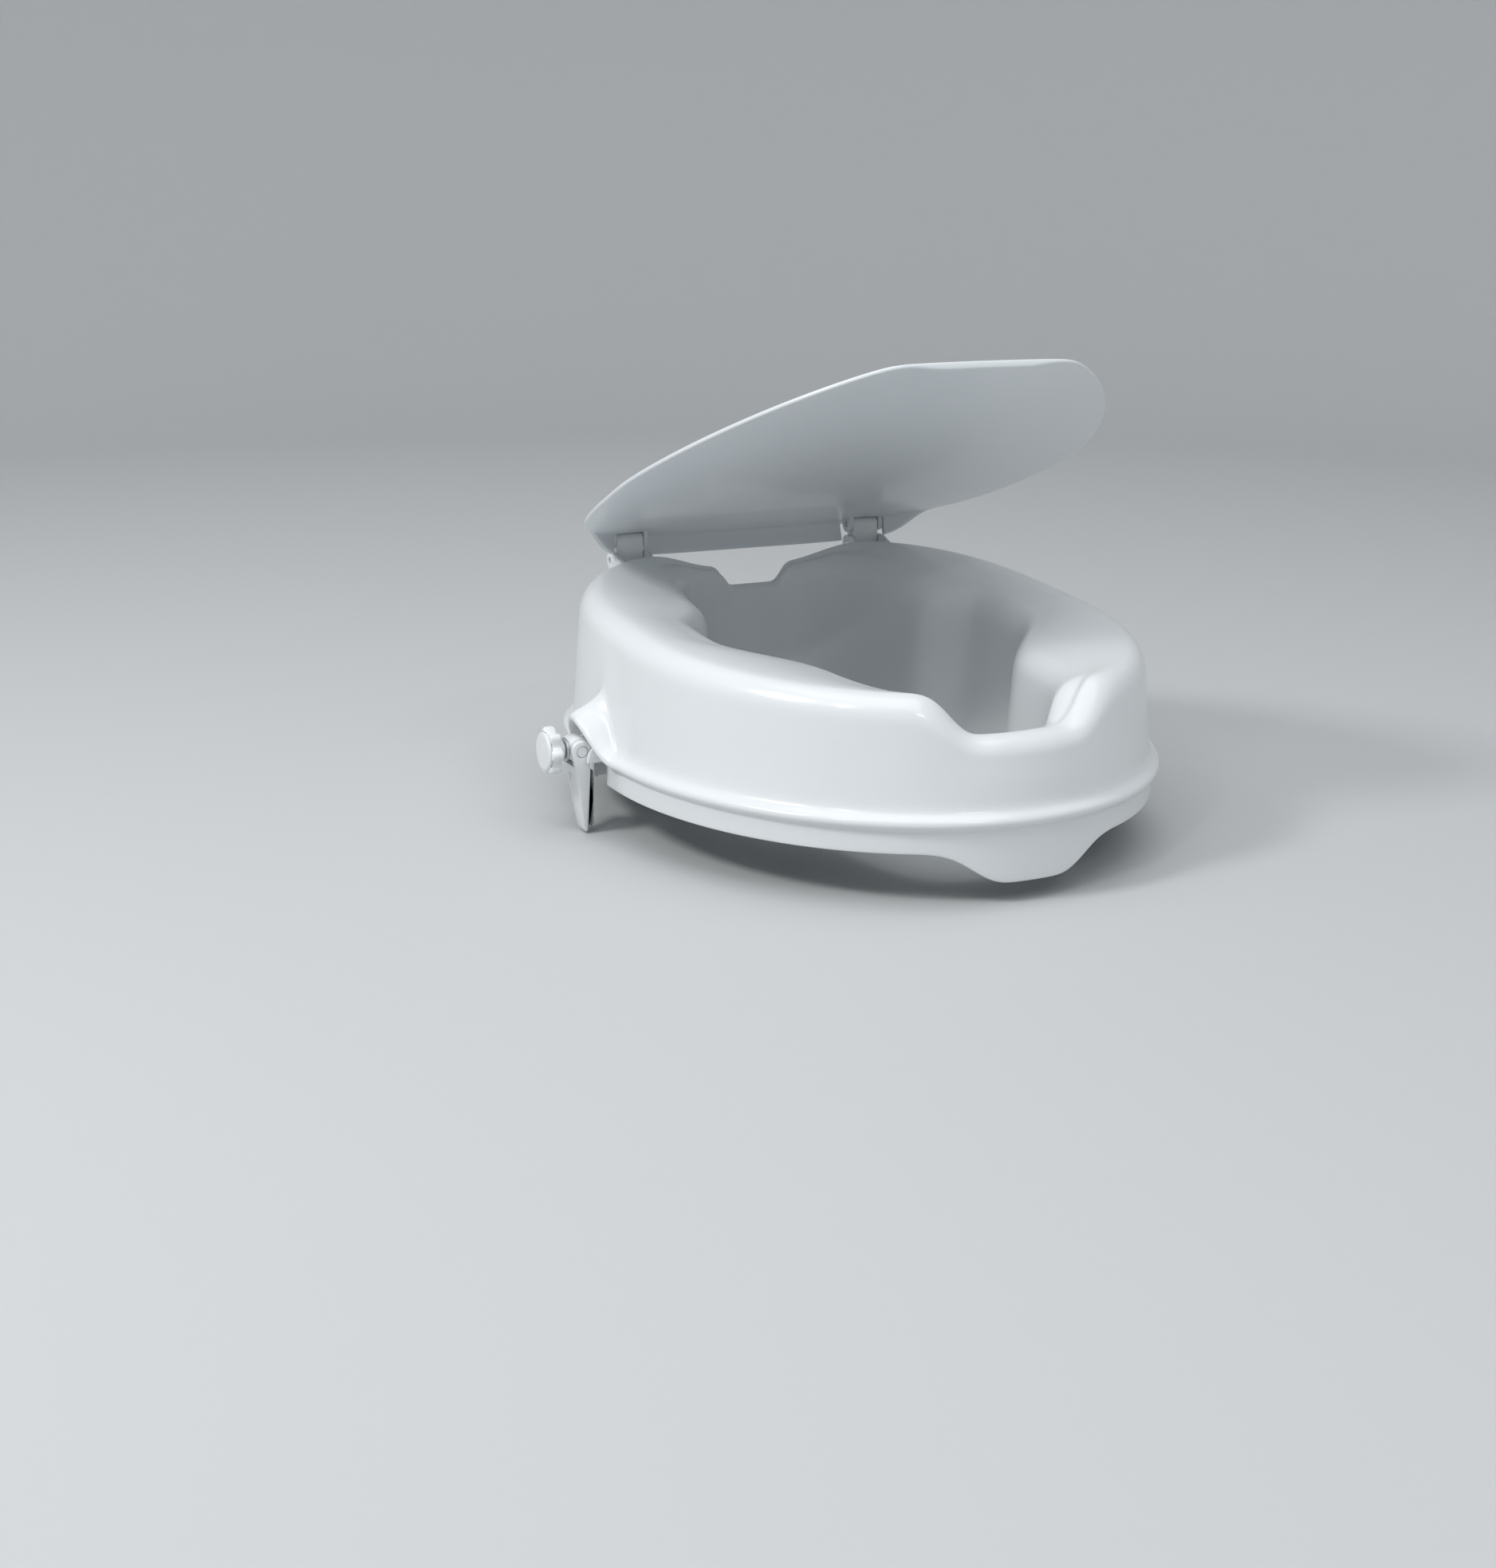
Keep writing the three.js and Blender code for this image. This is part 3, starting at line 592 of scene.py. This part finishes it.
PAD_LENGTH = 30
PAD_WIDTH = 15
PAD_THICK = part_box("rim_pad_front_left")[1].z / MM
PAD_GAP = 0.3
PAD_PLACES = (("front_left", 232), ("front_right", 308), ("rear_left", 138), ("rear_right", 42))
BOSS_THICK = 9
BOSS_REACH = 13.5
RIB_HALF = 1.6
RIB_REACH = 10
RIB_TOP = 62


def pad_stand(degrees):
    """The place and heading of a rim pad: its long side runs along the rim."""
    spot = Vector(outline(math.radians(degrees), 27))
    rim_point = Vector(outline(math.radians(degrees), 0))
    heading = math.atan2(rim_point.y - spot.y, rim_point.x - spot.x)
    return Matrix.Translation((spot.x, spot.y, 0)) @ Matrix.Rotation(heading, 4, "Z")


for place, degrees in PAD_PLACES:
    # a boss and an upright rib inside the shell carry each pad
    foot = block(-PAD_WIDTH / 2, PAD_WIDTH / 2 + BOSS_REACH, -PAD_LENGTH / 2, PAD_LENGTH / 2,
                 PAD_THICK + PAD_GAP, PAD_THICK + BOSS_THICK)
    rib = block(-PAD_WIDTH / 2 - 6, PAD_WIDTH / 2 + RIB_REACH, -RIB_HALF, RIB_HALF,
                PAD_THICK + 3, RIB_TOP)
    for part in (foot, rib):
        bmesh.ops.transform(part, matrix=pad_stand(degrees), verts=part.verts)
        seat = combine(seat, solid(part), "UNION")

ARM_HALF = 10.5
BARREL_RADIUS = 8
SPINDLE_RADIUS = 4
NUT_FLATS = 13
NUT_THICK = 6.5
CLEAR = 0.3
POCKET_DEPTH = 32.5
POCKET_WALL = 3
POCKET_HALF = ARM_HALF + 0.6
POCKET_TOP = CLAMP_Z + BARREL_RADIUS + 1
POCKET_BACK = CLAMP_X - POCKET_DEPTH


def mirrored(shape):
    """The same shape for the left-hand side."""
    bmesh.ops.scale(shape, verts=shape.verts, vec=(-1, 1, 1))
    bmesh.ops.reverse_faces(shape, faces=shape.faces)
    return shape


def clamp_housing():
    """The walls of a clamp's pocket and the two quarter-round cheeks beside it."""
    skirt = SEAT_HALF - 4
    box = block(POCKET_BACK - POCKET_WALL - NUT_THICK, skirt - 1,
                CLAMP_Y - POCKET_HALF - POCKET_WALL, CLAMP_Y + POCKET_HALF + POCKET_WALL,
                SKIRT_BOTTOM + 1, POCKET_TOP + POCKET_WALL, 0.8)
    housing = solid(box)
    for side in (-1, 1):
        near = CLAMP_Y + side * POCKET_HALF
        far = near + side * POCKET_WALL
        reach = 14
        foot = CLAMP_Z - 7
        profile = [(skirt - 6, foot), *arc(skirt, foot, reach, 0, 90, 16), (skirt - 6, foot + reach)]
        cheek = plate(profile, "Y", min(near, far), max(near, far), 0.7)
        housing = combine(housing, solid(cheek), "UNION")
    return housing


def clamp_hollow():
    """What is cut away there: the pocket, the hole for the screw and the seat of its nut."""
    nut_half = NUT_FLATS / 2 + CLEAR
    back = POCKET_BACK - POCKET_WALL
    hollow = solid(block(POCKET_BACK, CLAMP_X + 20, CLAMP_Y - POCKET_HALF, CLAMP_Y + POCKET_HALF,
                         -30, POCKET_TOP))
    hole = turned([(0, back - NUT_THICK - 8), (SPINDLE_RADIUS + CLEAR, back - NUT_THICK - 8),
                   (SPINDLE_RADIUS + CLEAR, POCKET_BACK + 1), (0, POCKET_BACK + 1)],
                  "X", (0, CLAMP_Y, CLAMP_Z))
    hollow = combine(hollow, solid(hole), "UNION")
    nut_seat = block(back - NUT_THICK - 1, back, CLAMP_Y - nut_half, CLAMP_Y + nut_half,
                     CLAMP_Z - nut_half, CLAMP_Z + nut_half)
    return combine(hollow, solid(nut_seat), "UNION")


def left_copy(made):
    """A mirror image of a solid on the left-hand side."""
    shape = bmesh.new()
    shape.from_mesh(made.data)
    return solid(mirrored(shape))


housing = clamp_housing()
hollow = clamp_hollow()
for tool, operation in ((housing, "UNION"), (hollow, "DIFFERENCE")):
    other = left_copy(tool)
    seat = combine(seat, tool, operation)
    seat = combine(seat, other, operation)

HINGE_X = (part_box("hinge_link_right")[0].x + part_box("hinge_link_right")[1].x) / 2 / MM
LINK_WIDTH = (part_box("hinge_link_right")[1].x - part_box("hinge_link_right")[0].x) / MM
LINK_RADIUS = 5
PIN_RADIUS = 2
HINGE_Y = (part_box("hinge_link_right")[0].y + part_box("hinge_link_right")[1].y) / 2 / MM
PIN_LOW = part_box("hinge_link_right")[0].z / MM + LINK_RADIUS
PIN_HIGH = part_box("hinge_link_right")[1].z / MM - LINK_RADIUS
LUG_THICK = 3.2
LUG_RADIUS = 6



def pin_bore(place):
    """The hole through a pair of lugs for a hinge pin, with its running clearance."""
    half = LINK_WIDTH / 2 + LUG_THICK + 2 * CLEAR
    bore = [(0, -half), (PIN_RADIUS + CLEAR, -half), (PIN_RADIUS + CLEAR, half), (0, half)]
    return solid(turned(bore, "X", place))


for x in (-HINGE_X, HINGE_X):
    for side in (-1, 1):
        near = x + side * (LINK_WIDTH / 2 + CLEAR)
        far = near + side * LUG_THICK
        foot = HINGE_Y - 34
        profile = [(foot, PIN_LOW - 16), (HINGE_Y - 8, PIN_LOW - 16),
                   *arc(HINGE_Y, PIN_LOW, LUG_RADIUS, -60, 90, 16),
                   (HINGE_Y - 8, PIN_LOW + LUG_RADIUS), (foot, PIN_LOW - 3)]
        lug = plate(profile, "X", min(near, far), max(near, far), 0.7)
        seat = combine(seat, solid(lug), "UNION")
    seat = combine(seat, pin_bore((x, HINGE_Y, PIN_LOW)), "DIFFERENCE")

finish_piece(seat, "seat_shell", "seat", "shell_plastic", shell_white, "seat_body")

# ---- The lid ------------------------------------------------------------------------------------
# A thin moulded plate, slightly crowned, with a lip that hangs down along its rear edge and round
# the corners there. It stands a quarter open here, held by the friction of its hinge pins.

LID_OPEN = math.radians(24.1)
LID_HALF = 161.9
LID_LENGTH = 392.8
LID_NOSE = 23.3
LID_NOSE_ROUND = 2.7
LID_FRONT_FULLNESS = 1.68
LID_REAR_FULLNESS = 2.86
LID_REAR_SHARE = 0.464
LID_WALL = 3
LID_REAR_LIP = 14
LID_DOME = 1
LID_TAPER = 0.049
LID_SAG = 9.6
LID_CAMBER = 4.4
LID_PIN_INSET = 23.4
LID_UNDER = 2
LID_TURNS = 160


def lid_ring(inset, part, z, deepens=0.0):
    """One ring of the lid, level and with its hinge pins on the X axis."""
    rear = LID_LENGTH * LID_REAR_SHARE
    front = LID_LENGTH - rear
    centre = LID_PIN_INSET - rear
    middle = LID_PIN_INSET - LID_LENGTH / 2
    ring = []
    for i in range(LID_TURNS):
        x, y = egg(-2 * math.pi * i / LID_TURNS, LID_HALF - inset, front - inset, rear - inset,
                   LID_FRONT_FULLNESS, LID_REAR_FULLNESS)
        planed = -lower_of(-y, front - inset - LID_NOSE, LID_NOSE_ROUND) if y < 0 else y
        along = (centre + planed * part - middle) / (LID_LENGTH / 2)
        wide = x * part * (1 - LID_TAPER * along)
        dome = LID_DOME * (1 - part * part)
        deeper = deepens * LID_REAR_LIP * step(centre + y, -36, 4)
        # the front edge is pulled down a little to make a finger grip
        finger = deepens * 2.2 * (1 - step(abs(x), 24, 52)) * step(-y, front - LID_NOSE - 26,
                                                                  front - LID_NOSE - 6)
        bow = LID_SAG * (along * along - 0.5) - LID_CAMBER * (wide / LID_HALF) ** 2
        ring.append((wide, centre + planed * part, z + dome + bow - deeper - finger))
    return ring


above = LID_UNDER + LID_WALL
lid_rows = [
    lid_ring(0, 0.02, above),
    lid_ring(0, 0.2, above),
    lid_ring(0, 0.4, above),
    lid_ring(0, 0.6, above),
    lid_ring(0, 0.78, above),
    lid_ring(0, 0.9, above),
    lid_ring(5, 1, above),
    lid_ring(1.6, 1, above - 0.1),
    lid_ring(0.5, 1, above - 0.4),
    lid_ring(0, 1, above - 1.2),
    lid_ring(0, 1, LID_UNDER + 0.8, 1),
    lid_ring(0.3, 1, LID_UNDER + 0.2, 1),
    lid_ring(1, 1, LID_UNDER, 1),
    lid_ring(LID_WALL - 0.8, 1, LID_UNDER, 1),
    lid_ring(LID_WALL - 0.2, 1, LID_UNDER + 0.1, 1),
    lid_ring(LID_WALL + 0.2, 1, LID_UNDER + 0.1, 0.8),
    lid_ring(LID_WALL + 0.8, 1, LID_UNDER, 0.2),
    lid_ring(LID_WALL + 2, 1, LID_UNDER, 0.03),
    lid_ring(LID_WALL + 5, 1, LID_UNDER),
    lid_ring(0, 0.86, LID_UNDER),
    lid_ring(0, 0.7, LID_UNDER),
    lid_ring(0, 0.5, LID_UNDER),
    lid_ring(0, 0.3, LID_UNDER),
    lid_ring(0, 0.12, LID_UNDER),
    lid_ring(0, 0.02, LID_UNDER),
]
lid = rounded(solid(skin(LID_TURNS, lid_rows)), 1)

for x in (-HINGE_X, HINGE_X):
    half = LINK_WIDTH / 2 + LUG_THICK + 2 * CLEAR
    # the rear lip is cut away where the links swing
    window = block(x - half, x + half, -LUG_RADIUS - 2, 30,
                   LID_UNDER - LID_REAR_LIP - 1, LID_UNDER + 1.2)
    lid = combine(lid, solid(window), "DIFFERENCE")
    swing = [(0, -half), (LINK_RADIUS + 2 * CLEAR, -half), (LINK_RADIUS + 2 * CLEAR, half), (0, half)]
    lid = combine(lid, solid(turned(swing, "X", (x, 0, 0))), "DIFFERENCE")
    for end in (-1, 1):
        near = x + end * (LINK_WIDTH / 2 + CLEAR)
        far = near + end * LUG_THICK
        profile = [(-9, LID_UNDER + 5), *arc(0, 0, LUG_RADIUS, 210, 360, 16), (7, LID_UNDER + 5)]
        lug = plate(profile, "X", min(near, far), max(near, far), 0.5)
        lid = combine(lid, solid(lug), "UNION")
    lid = combine(lid, pin_bore((x, 0, 0)), "DIFFERENCE")

lid.data.transform(Matrix.Translation((0, HINGE_Y, PIN_HIGH)) @ Matrix.Rotation(-LID_OPEN, 4, "X"))
lid_white = moulded_plastic("lid_white", (0.75, 0.785, 0.81), 0.36, 0.05)
finish_piece(lid, "lid_shell", "lid", "lid_plastic", lid_white, "lid")

# ---- The hinges ---------------------------------------------------------------------------------
# Each hinge is a short moulded link between two steel pins: the lower pin in lugs on the seat, the
# upper one in lugs under the lid. The pins have domed heads.

fitting_white = moulded_plastic("fitting_white", (0.82, 0.84, 0.85), 0.28, 0.16)


def steel(name, colour, roughness):
    """Bright zinc-plated steel with fine turning lines and a patchy passivation."""
    finish = Finish(name)
    patches = finish.noise(60, 4)
    lines = finish.noise(900, 3, 0.6, (1, 0.06, 0.06))
    dull = [channel * 0.8 for channel in colour]
    return finish.wear(
        Base_Color=finish.mixed(patches.clipped(0.4, 0.75), (*colour, 1), (*dull, 1)),
        Metallic=1.0,
        Roughness=roughness + patches * 0.16,
        Normal=finish.bump(lines, 0.25, 0.0002),
    )


zinc = steel("zinc_steel", (0.66, 0.67, 0.69), 0.22)
PIN_HALF = LINK_WIDTH / 2 + LUG_THICK
for side, x in (("left", -HINGE_X), ("right", HINGE_X)):
    waist = LINK_WIDTH / 2
    profile = [*arc(HINGE_Y, PIN_LOW, LINK_RADIUS, 180, 360, 24),
               *arc(HINGE_Y, PIN_HIGH, LINK_RADIUS, 0, 180, 24)]
    link = solid(plate(profile, "X", x - waist, x + waist, 0.8, 3))
    for name, body, z in (("seat_hinge_pin", "seat", PIN_LOW), ("lid_hinge_pin", "links", PIN_HIGH)):
        bore = [(0, -20), (PIN_RADIUS + CLEAR, -20), (PIN_RADIUS + CLEAR, 20), (0, 20)]
        link = combine(link, solid(turned(bore, "X", (x, HINGE_Y, z))), "DIFFERENCE")
        pin = [(0, -PIN_HALF), (PIN_RADIUS * 0.7, -PIN_HALF), (PIN_RADIUS, 0.5 - PIN_HALF),
               (PIN_RADIUS, PIN_HALF - 0.5), (PIN_RADIUS * 0.7, PIN_HALF), (0, PIN_HALF)]
        finish_piece(solid(turned(pin, "X", (x, HINGE_Y, z))), f"{name}_{side}_turned", body,
                     "zinc_steel", zinc, f"{name}_{side}")
    finish_piece(link, f"hinge_link_{side}_moulded", "links", "fitting_plastic", fitting_white,
                 f"hinge_link_{side}")

# ---- The clamps ---------------------------------------------------------------------------------
# A screw goes in through the skirt on each side. It carries a barrel, and a tapered arm hangs from
# the barrel's ends with a toothed rubber grip on its inner face. A lobed knob turns the screw.

SPINDLE_OUT = 18.5
BARREL_HALF = 7.2
TRUNNION_RADIUS = 3.5
ARM_LENGTH = 54
ARM_TOP = 10
ARM_TIP = 3
ARM_TIP_HALF = 6.2
GRIP_THICK = 3.8
GRIP_LENGTH = 38
GRIP_HALF = 5.6
GRIP_TEETH = 9
KNOB_RADIUS = 15.5
KNOB_LOBES = 7
KNOB_THICK = 8
CAP_RADIUS = 12.4
CAP_THICK = 2.2
SPINDLE_IN = POCKET_DEPTH + POCKET_WALL + NUT_THICK + 8
KNOB_START = BARREL_RADIUS - 1 + CLEAR + 1.5 + CLEAR
KNOB_BACK = KNOB_START + 4.2


def clamp_frame(sign):
    """Where a clamp stands: its +X points away from the seat, its origin is in the barrel."""
    turn = Matrix.Identity(4) if sign > 0 else Matrix.Rotation(math.pi, 4, "Z")
    return Matrix.Translation((sign * CLAMP_X, CLAMP_Y, CLAMP_Z)) @ turn


def barrel():
    """The cross barrel: a rounded drum with a trunnion at each end and two flats."""
    drum = BARREL_HALF
    end = ARM_HALF - 0.2
    profile = [(0, -end), (TRUNNION_RADIUS - 0.4, -end), (TRUNNION_RADIUS, -end + 0.4),
               (TRUNNION_RADIUS, -drum), (BARREL_RADIUS - 1.2, -drum), (BARREL_RADIUS - 0.3, -drum + 0.4),
               (BARREL_RADIUS, -drum + 1.2), (BARREL_RADIUS, drum - 1.2),
               (BARREL_RADIUS - 0.3, drum - 0.4), (BARREL_RADIUS - 1.2, drum),
               (TRUNNION_RADIUS, drum), (TRUNNION_RADIUS, end - 0.4), (TRUNNION_RADIUS - 0.4, end),
               (0, end)]
    body = solid(turned(profile, "Y", (0, 0, 0), 64))
    for low, high in ((BARREL_RADIUS - 1, BARREL_RADIUS + 2), (-BARREL_RADIUS - 2, 1 - BARREL_RADIUS)):
        body = combine(body, solid(block(low, high, -20, 20, -20, 20)), "DIFFERENCE")
    bore = [(0, -20), (SPINDLE_RADIUS + CLEAR, -20), (SPINDLE_RADIUS + CLEAR, 20), (0, 20)]
    return combine(body, solid(turned(bore, "X", (0, 0, 0))), "DIFFERENCE")


def clamp_arm():
    """The arm: two lugs round the barrel's ends and a blade that tapers to a rounded tip."""
    inner = -5.5
    top = -BARREL_RADIUS - 2.2
    tip = -ARM_LENGTH
    side = [(inner, tip + 2), (inner, -4), *arc(0, 0, 7, 180, 0, 24), (ARM_TOP + inner, top),
            (inner + ARM_TIP, tip + 3), (inner + ARM_TIP - 1, tip + 0.6), (inner + 1, tip)]
    shape = plate(side, "Y", -ARM_HALF, ARM_HALF)
    bmesh.ops.bisect_plane(shape, geom=shape.verts[:] + shape.edges[:] + shape.faces[:],
                           plane_co=(0, 0, top - 4), plane_no=(0, 0, 1))
    for vert in shape.verts:
        # the blade narrows towards its tip
        share = max(0.0, (top - 4 - vert.co.z) / (top - 3 - tip))
        vert.co.y *= mix(1, ARM_TIP_HALF / ARM_HALF, share)
    rim = [edge for edge in shape.edges if edge.calc_face_angle(0) > math.radians(25)]
    bmesh.ops.bevel(shape, geom=rim, offset=0.9, segments=3, profile=0.5, affect="EDGES", material=-1)
    arm = solid(shape)
    slot = block(-20, 20, -BARREL_HALF - CLEAR, BARREL_HALF + CLEAR, top, 20)
    arm = combine(arm, solid(slot), "DIFFERENCE")
    bore = [(0, -20), (TRUNNION_RADIUS + CLEAR, -20), (TRUNNION_RADIUS + CLEAR, 20), (0, 20)]
    arm = combine(arm, solid(turned(bore, "Y", (0, 0, 0))), "DIFFERENCE")
    # a shallow hollow down the blade's outer face leaves a rib at each edge
    hollow = block(ARM_TOP + inner - 5, ARM_TOP + inner + 12, -5.5, 5.5, -24, 0, 1)
    lean = Matrix.Rotation(-math.atan2(ARM_TOP - ARM_TIP, ARM_LENGTH - BARREL_RADIUS - 4), 4, "Y")
    bmesh.ops.transform(hollow, matrix=Matrix.Translation((1.5, 0, -16)) @ lean, verts=hollow.verts)
    return combine(arm, solid(hollow), "DIFFERENCE")


def grip_pad():
    """The rubber grip, toothed towards the bowl."""
    back = -5.5 - CLEAR
    low = -ARM_LENGTH + 2.5
    pitch = GRIP_LENGTH / GRIP_TEETH
    points = [(back, low), (back, low + GRIP_LENGTH)]
    for i in reversed(range(GRIP_TEETH)):
        points.append((back - GRIP_THICK + 1, low + pitch * (i + 0.95)))
        points.append((back - GRIP_THICK, low + pitch * (i + 0.66)))
        points.append((back - GRIP_THICK, low + pitch * (i + 0.34)))
        points.append((back - GRIP_THICK + 1, low + pitch * (i + 0.05)))
    return solid(plate(points, "Y", -GRIP_HALF, GRIP_HALF, 0.25, 2))


def knob():
    """The knob: a hub towards the barrel and a lobed grip with soft shoulders."""
    segments = KNOB_LOBES * 24
    soft = [(0.0, 1.9), (0.35, 0.95), (0.95, 0.35), (1.9, 0.0)]
    grip = [(KNOB_BACK + depth, shrink) for depth, shrink in soft]
    grip += [(KNOB_BACK + KNOB_THICK - depth, shrink) for depth, shrink in reversed(soft)]
    rows = []
    for distance, shrink in grip:
        ring = []
        for i in range(segments):
            angle = 2 * math.pi * i / segments
            lobe = math.cos(KNOB_LOBES * angle)
            radius = KNOB_RADIUS - 1.7 + 1.7 * power(lobe, 0.75 if lobe > 0 else 1.0) - shrink
            ring.append((distance, radius * math.cos(angle), radius * math.sin(angle)))
        rows.append(ring)
    made = solid(skin(segments, rows))
    hub = [(0, KNOB_START), (5.2, KNOB_START), (5.8, KNOB_START + 0.6), (5.8, KNOB_BACK - 0.6),
           (6.6, KNOB_BACK + 2), (0, KNOB_BACK + 2)]
    made = combine(made, solid(turned(hub, "X", (0, 0, 0), 64)), "UNION")
    face = KNOB_BACK + KNOB_THICK
    seat_cut = [(0, face - 1), (CAP_RADIUS + CLEAR, face - 1), (CAP_RADIUS + CLEAR, face + 5),
                (0, face + 5)]
    made = combine(made, solid(turned(seat_cut, "X", (0, 0, 0), 96)), "DIFFERENCE")
    bore = [(0, KNOB_START - 1), (SPINDLE_RADIUS + CLEAR, KNOB_START - 1),
            (SPINDLE_RADIUS + CLEAR, SPINDLE_OUT + CLEAR), (0, SPINDLE_OUT + CLEAR)]
    return combine(made, solid(turned(bore, "X", (0, 0, 0))), "DIFFERENCE")


def knob_cap():
    """The cap that closes the knob, with a rounded rim and a slightly crowned face."""
    base = KNOB_BACK + KNOB_THICK - 1 + CLEAR
    face = base + CAP_THICK
    profile = [(0, base), (CAP_RADIUS - 0.3, base), (CAP_RADIUS, base + 0.3),
               (CAP_RADIUS, face - 1.2), (CAP_RADIUS - 0.35, face - 0.6), (CAP_RADIUS - 1.1, face - 0.15),
               (CAP_RADIUS - 2.2, face), (CAP_RADIUS - 5, face + 0.15), (CAP_RADIUS - 9, face + 0.27),
               (0, face + 0.3)]
    return solid(turned(profile, "X", (0, 0, 0), 96))


def spindle():
    """The M8 clamp screw: a thread along its inner end and a plain shank in the knob."""
    pitch = 1.25
    depth = 0.62
    segments = 24
    steps = 6
    plain = -BARREL_RADIUS
    rows = []
    count = int((plain + SPINDLE_IN) / pitch * steps)
    for k in range(count + 1):
        distance = -SPINDLE_IN + k * pitch / steps
        taper = min(1.0, (k + 1) / (2 * steps), (count - k + 1) / (2 * steps))
        ring = []
        for i in range(segments):
            phase = (distance / pitch - i / segments) % 1.0
            groove = depth * (1 - abs(2 * phase - 1)) * taper
            angle = 2 * math.pi * i / segments
            radius = SPINDLE_RADIUS - groove - (0.5 if k == 0 else 0)
            ring.append((distance, radius * math.cos(angle), radius * math.sin(angle)))
        rows.append(ring)
    for distance, radius in ((plain + 0.6, SPINDLE_RADIUS), (SPINDLE_OUT - 0.5, SPINDLE_RADIUS),
                             (SPINDLE_OUT, SPINDLE_RADIUS - 0.5)):
        rows.append([(distance, radius * math.cos(2 * math.pi * i / segments),
                      radius * math.sin(2 * math.pi * i / segments)) for i in range(segments)])
    return solid(skin(segments, rows))


def flat_ring(inner, outer, start, end):
    """A washer on the screw, with its edges broken."""
    edge = 0.15
    profile = [(inner, start + edge), (inner + edge, start), (outer - edge, start), (outer, start + edge),
               (outer, end - edge), (outer - edge, end), (inner + edge, end), (inner, end - edge)]
    rows = []
    for radius, distance in profile:
        rows.append([(distance, radius * math.cos(2 * math.pi * i / 64),
                      radius * math.sin(2 * math.pi * i / 64)) for i in range(64)])
    return solid(skin(64, rows, closed=True))


def square_nut():
    """The square nut that the screw runs in, caught in the body."""
    half = NUT_FLATS / 2
    start = POCKET_BACK - POCKET_WALL - NUT_THICK - CLAMP_X
    end = start + NUT_THICK - CLEAR
    nut = solid(block(start, end, -half, half, -half, half, 0.5))
    bore = [(0, start - 1), (SPINDLE_RADIUS + CLEAR, start - 1), (SPINDLE_RADIUS + CLEAR, end + 1),
            (0, end + 1)]
    return combine(nut, solid(turned(bore, "X", (0, 0, 0))), "DIFFERENCE")


def rubber(name, colour, speckle):
    """Matt rubber with a fine open grain, pale speckles and a dusty bloom."""
    finish = Finish(name)
    grain = finish.noise(1500, 3, 0.6)
    bloom = finish.noise(45, 4)
    flecks = finish.noise(700, 1).clipped(0.6, 0.66)
    pale = [min(1.0, channel + speckle) for channel in colour]
    dusty = [channel * 1.25 for channel in colour]
    base = finish.mixed(bloom.clipped(0.4, 0.8), (*colour, 1), (*dusty, 1))
    return finish.wear(
        Base_Color=finish.mixed(flecks, base, (*pale, 1)),
        Roughness=0.72 + grain * 0.2,
        Normal=finish.bump(grain + flecks * 0.3, 0.5, 0.0006),
    )


grip_rubber = rubber("grip_rubber", (0.42, 0.43, 0.43), 0.3)
flat = BARREL_RADIUS - 1
clamp_pieces = [
    ("clamp_barrel", barrel, "carriage", "fitting_plastic", fitting_white),
    ("clamp_arm", clamp_arm, "arm", "fitting_plastic", fitting_white),
    ("grip_pad", grip_pad, "arm", "grip_rubber", grip_rubber),
    ("clamp_knob", knob, "screw", "fitting_plastic", fitting_white),
    ("knob_cap", knob_cap, "screw", "fitting_plastic", fitting_white),
    ("clamp_spindle", spindle, "screw", "zinc_steel", zinc),
    ("thrust_washer", lambda: flat_ring(SPINDLE_RADIUS + CLEAR, 7.5, flat + CLEAR, flat + CLEAR + 1.5),
     "carriage", "zinc_steel", zinc),
    ("retaining_ring", lambda: flat_ring(SPINDLE_RADIUS + CLEAR, 6.5, -flat - CLEAR - 1.2, -flat - CLEAR),
     "screw", "zinc_steel", zinc),
    ("captive_nut", square_nut, None, "zinc_steel", zinc),
]
for name, make, body, slot, material in clamp_pieces:
    for side, sign in (("left", -1), ("right", 1)):
        made = make()
        made.data.transform(clamp_frame(sign))
        finish_piece(made, f"{name}_{side}_made", f"{side}_{body}" if body else "seat", slot, material,
                     f"{name}_{side}")

# ---- The rim pads -------------------------------------------------------------------------------
# Four rubber pads under the seat keep it off the glaze of the bowl's rim. Each is a flat block
# with rounded corners, glued under a boss inside the shell.

pad_rubber = rubber("pad_rubber", (0.20, 0.21, 0.21), 0.06)
for name, degrees in PAD_PLACES:
    pad = block(-PAD_WIDTH / 2, PAD_WIDTH / 2, -PAD_LENGTH / 2, PAD_LENGTH / 2, 0, PAD_THICK, 0.8, 3)
    bmesh.ops.transform(pad, matrix=pad_stand(degrees), verts=pad.verts)
    finish_piece(solid(pad), f"rim_pad_{name}_moulded", "seat", "pad_rubber", pad_rubber,
                 f"rim_pad_{name}")
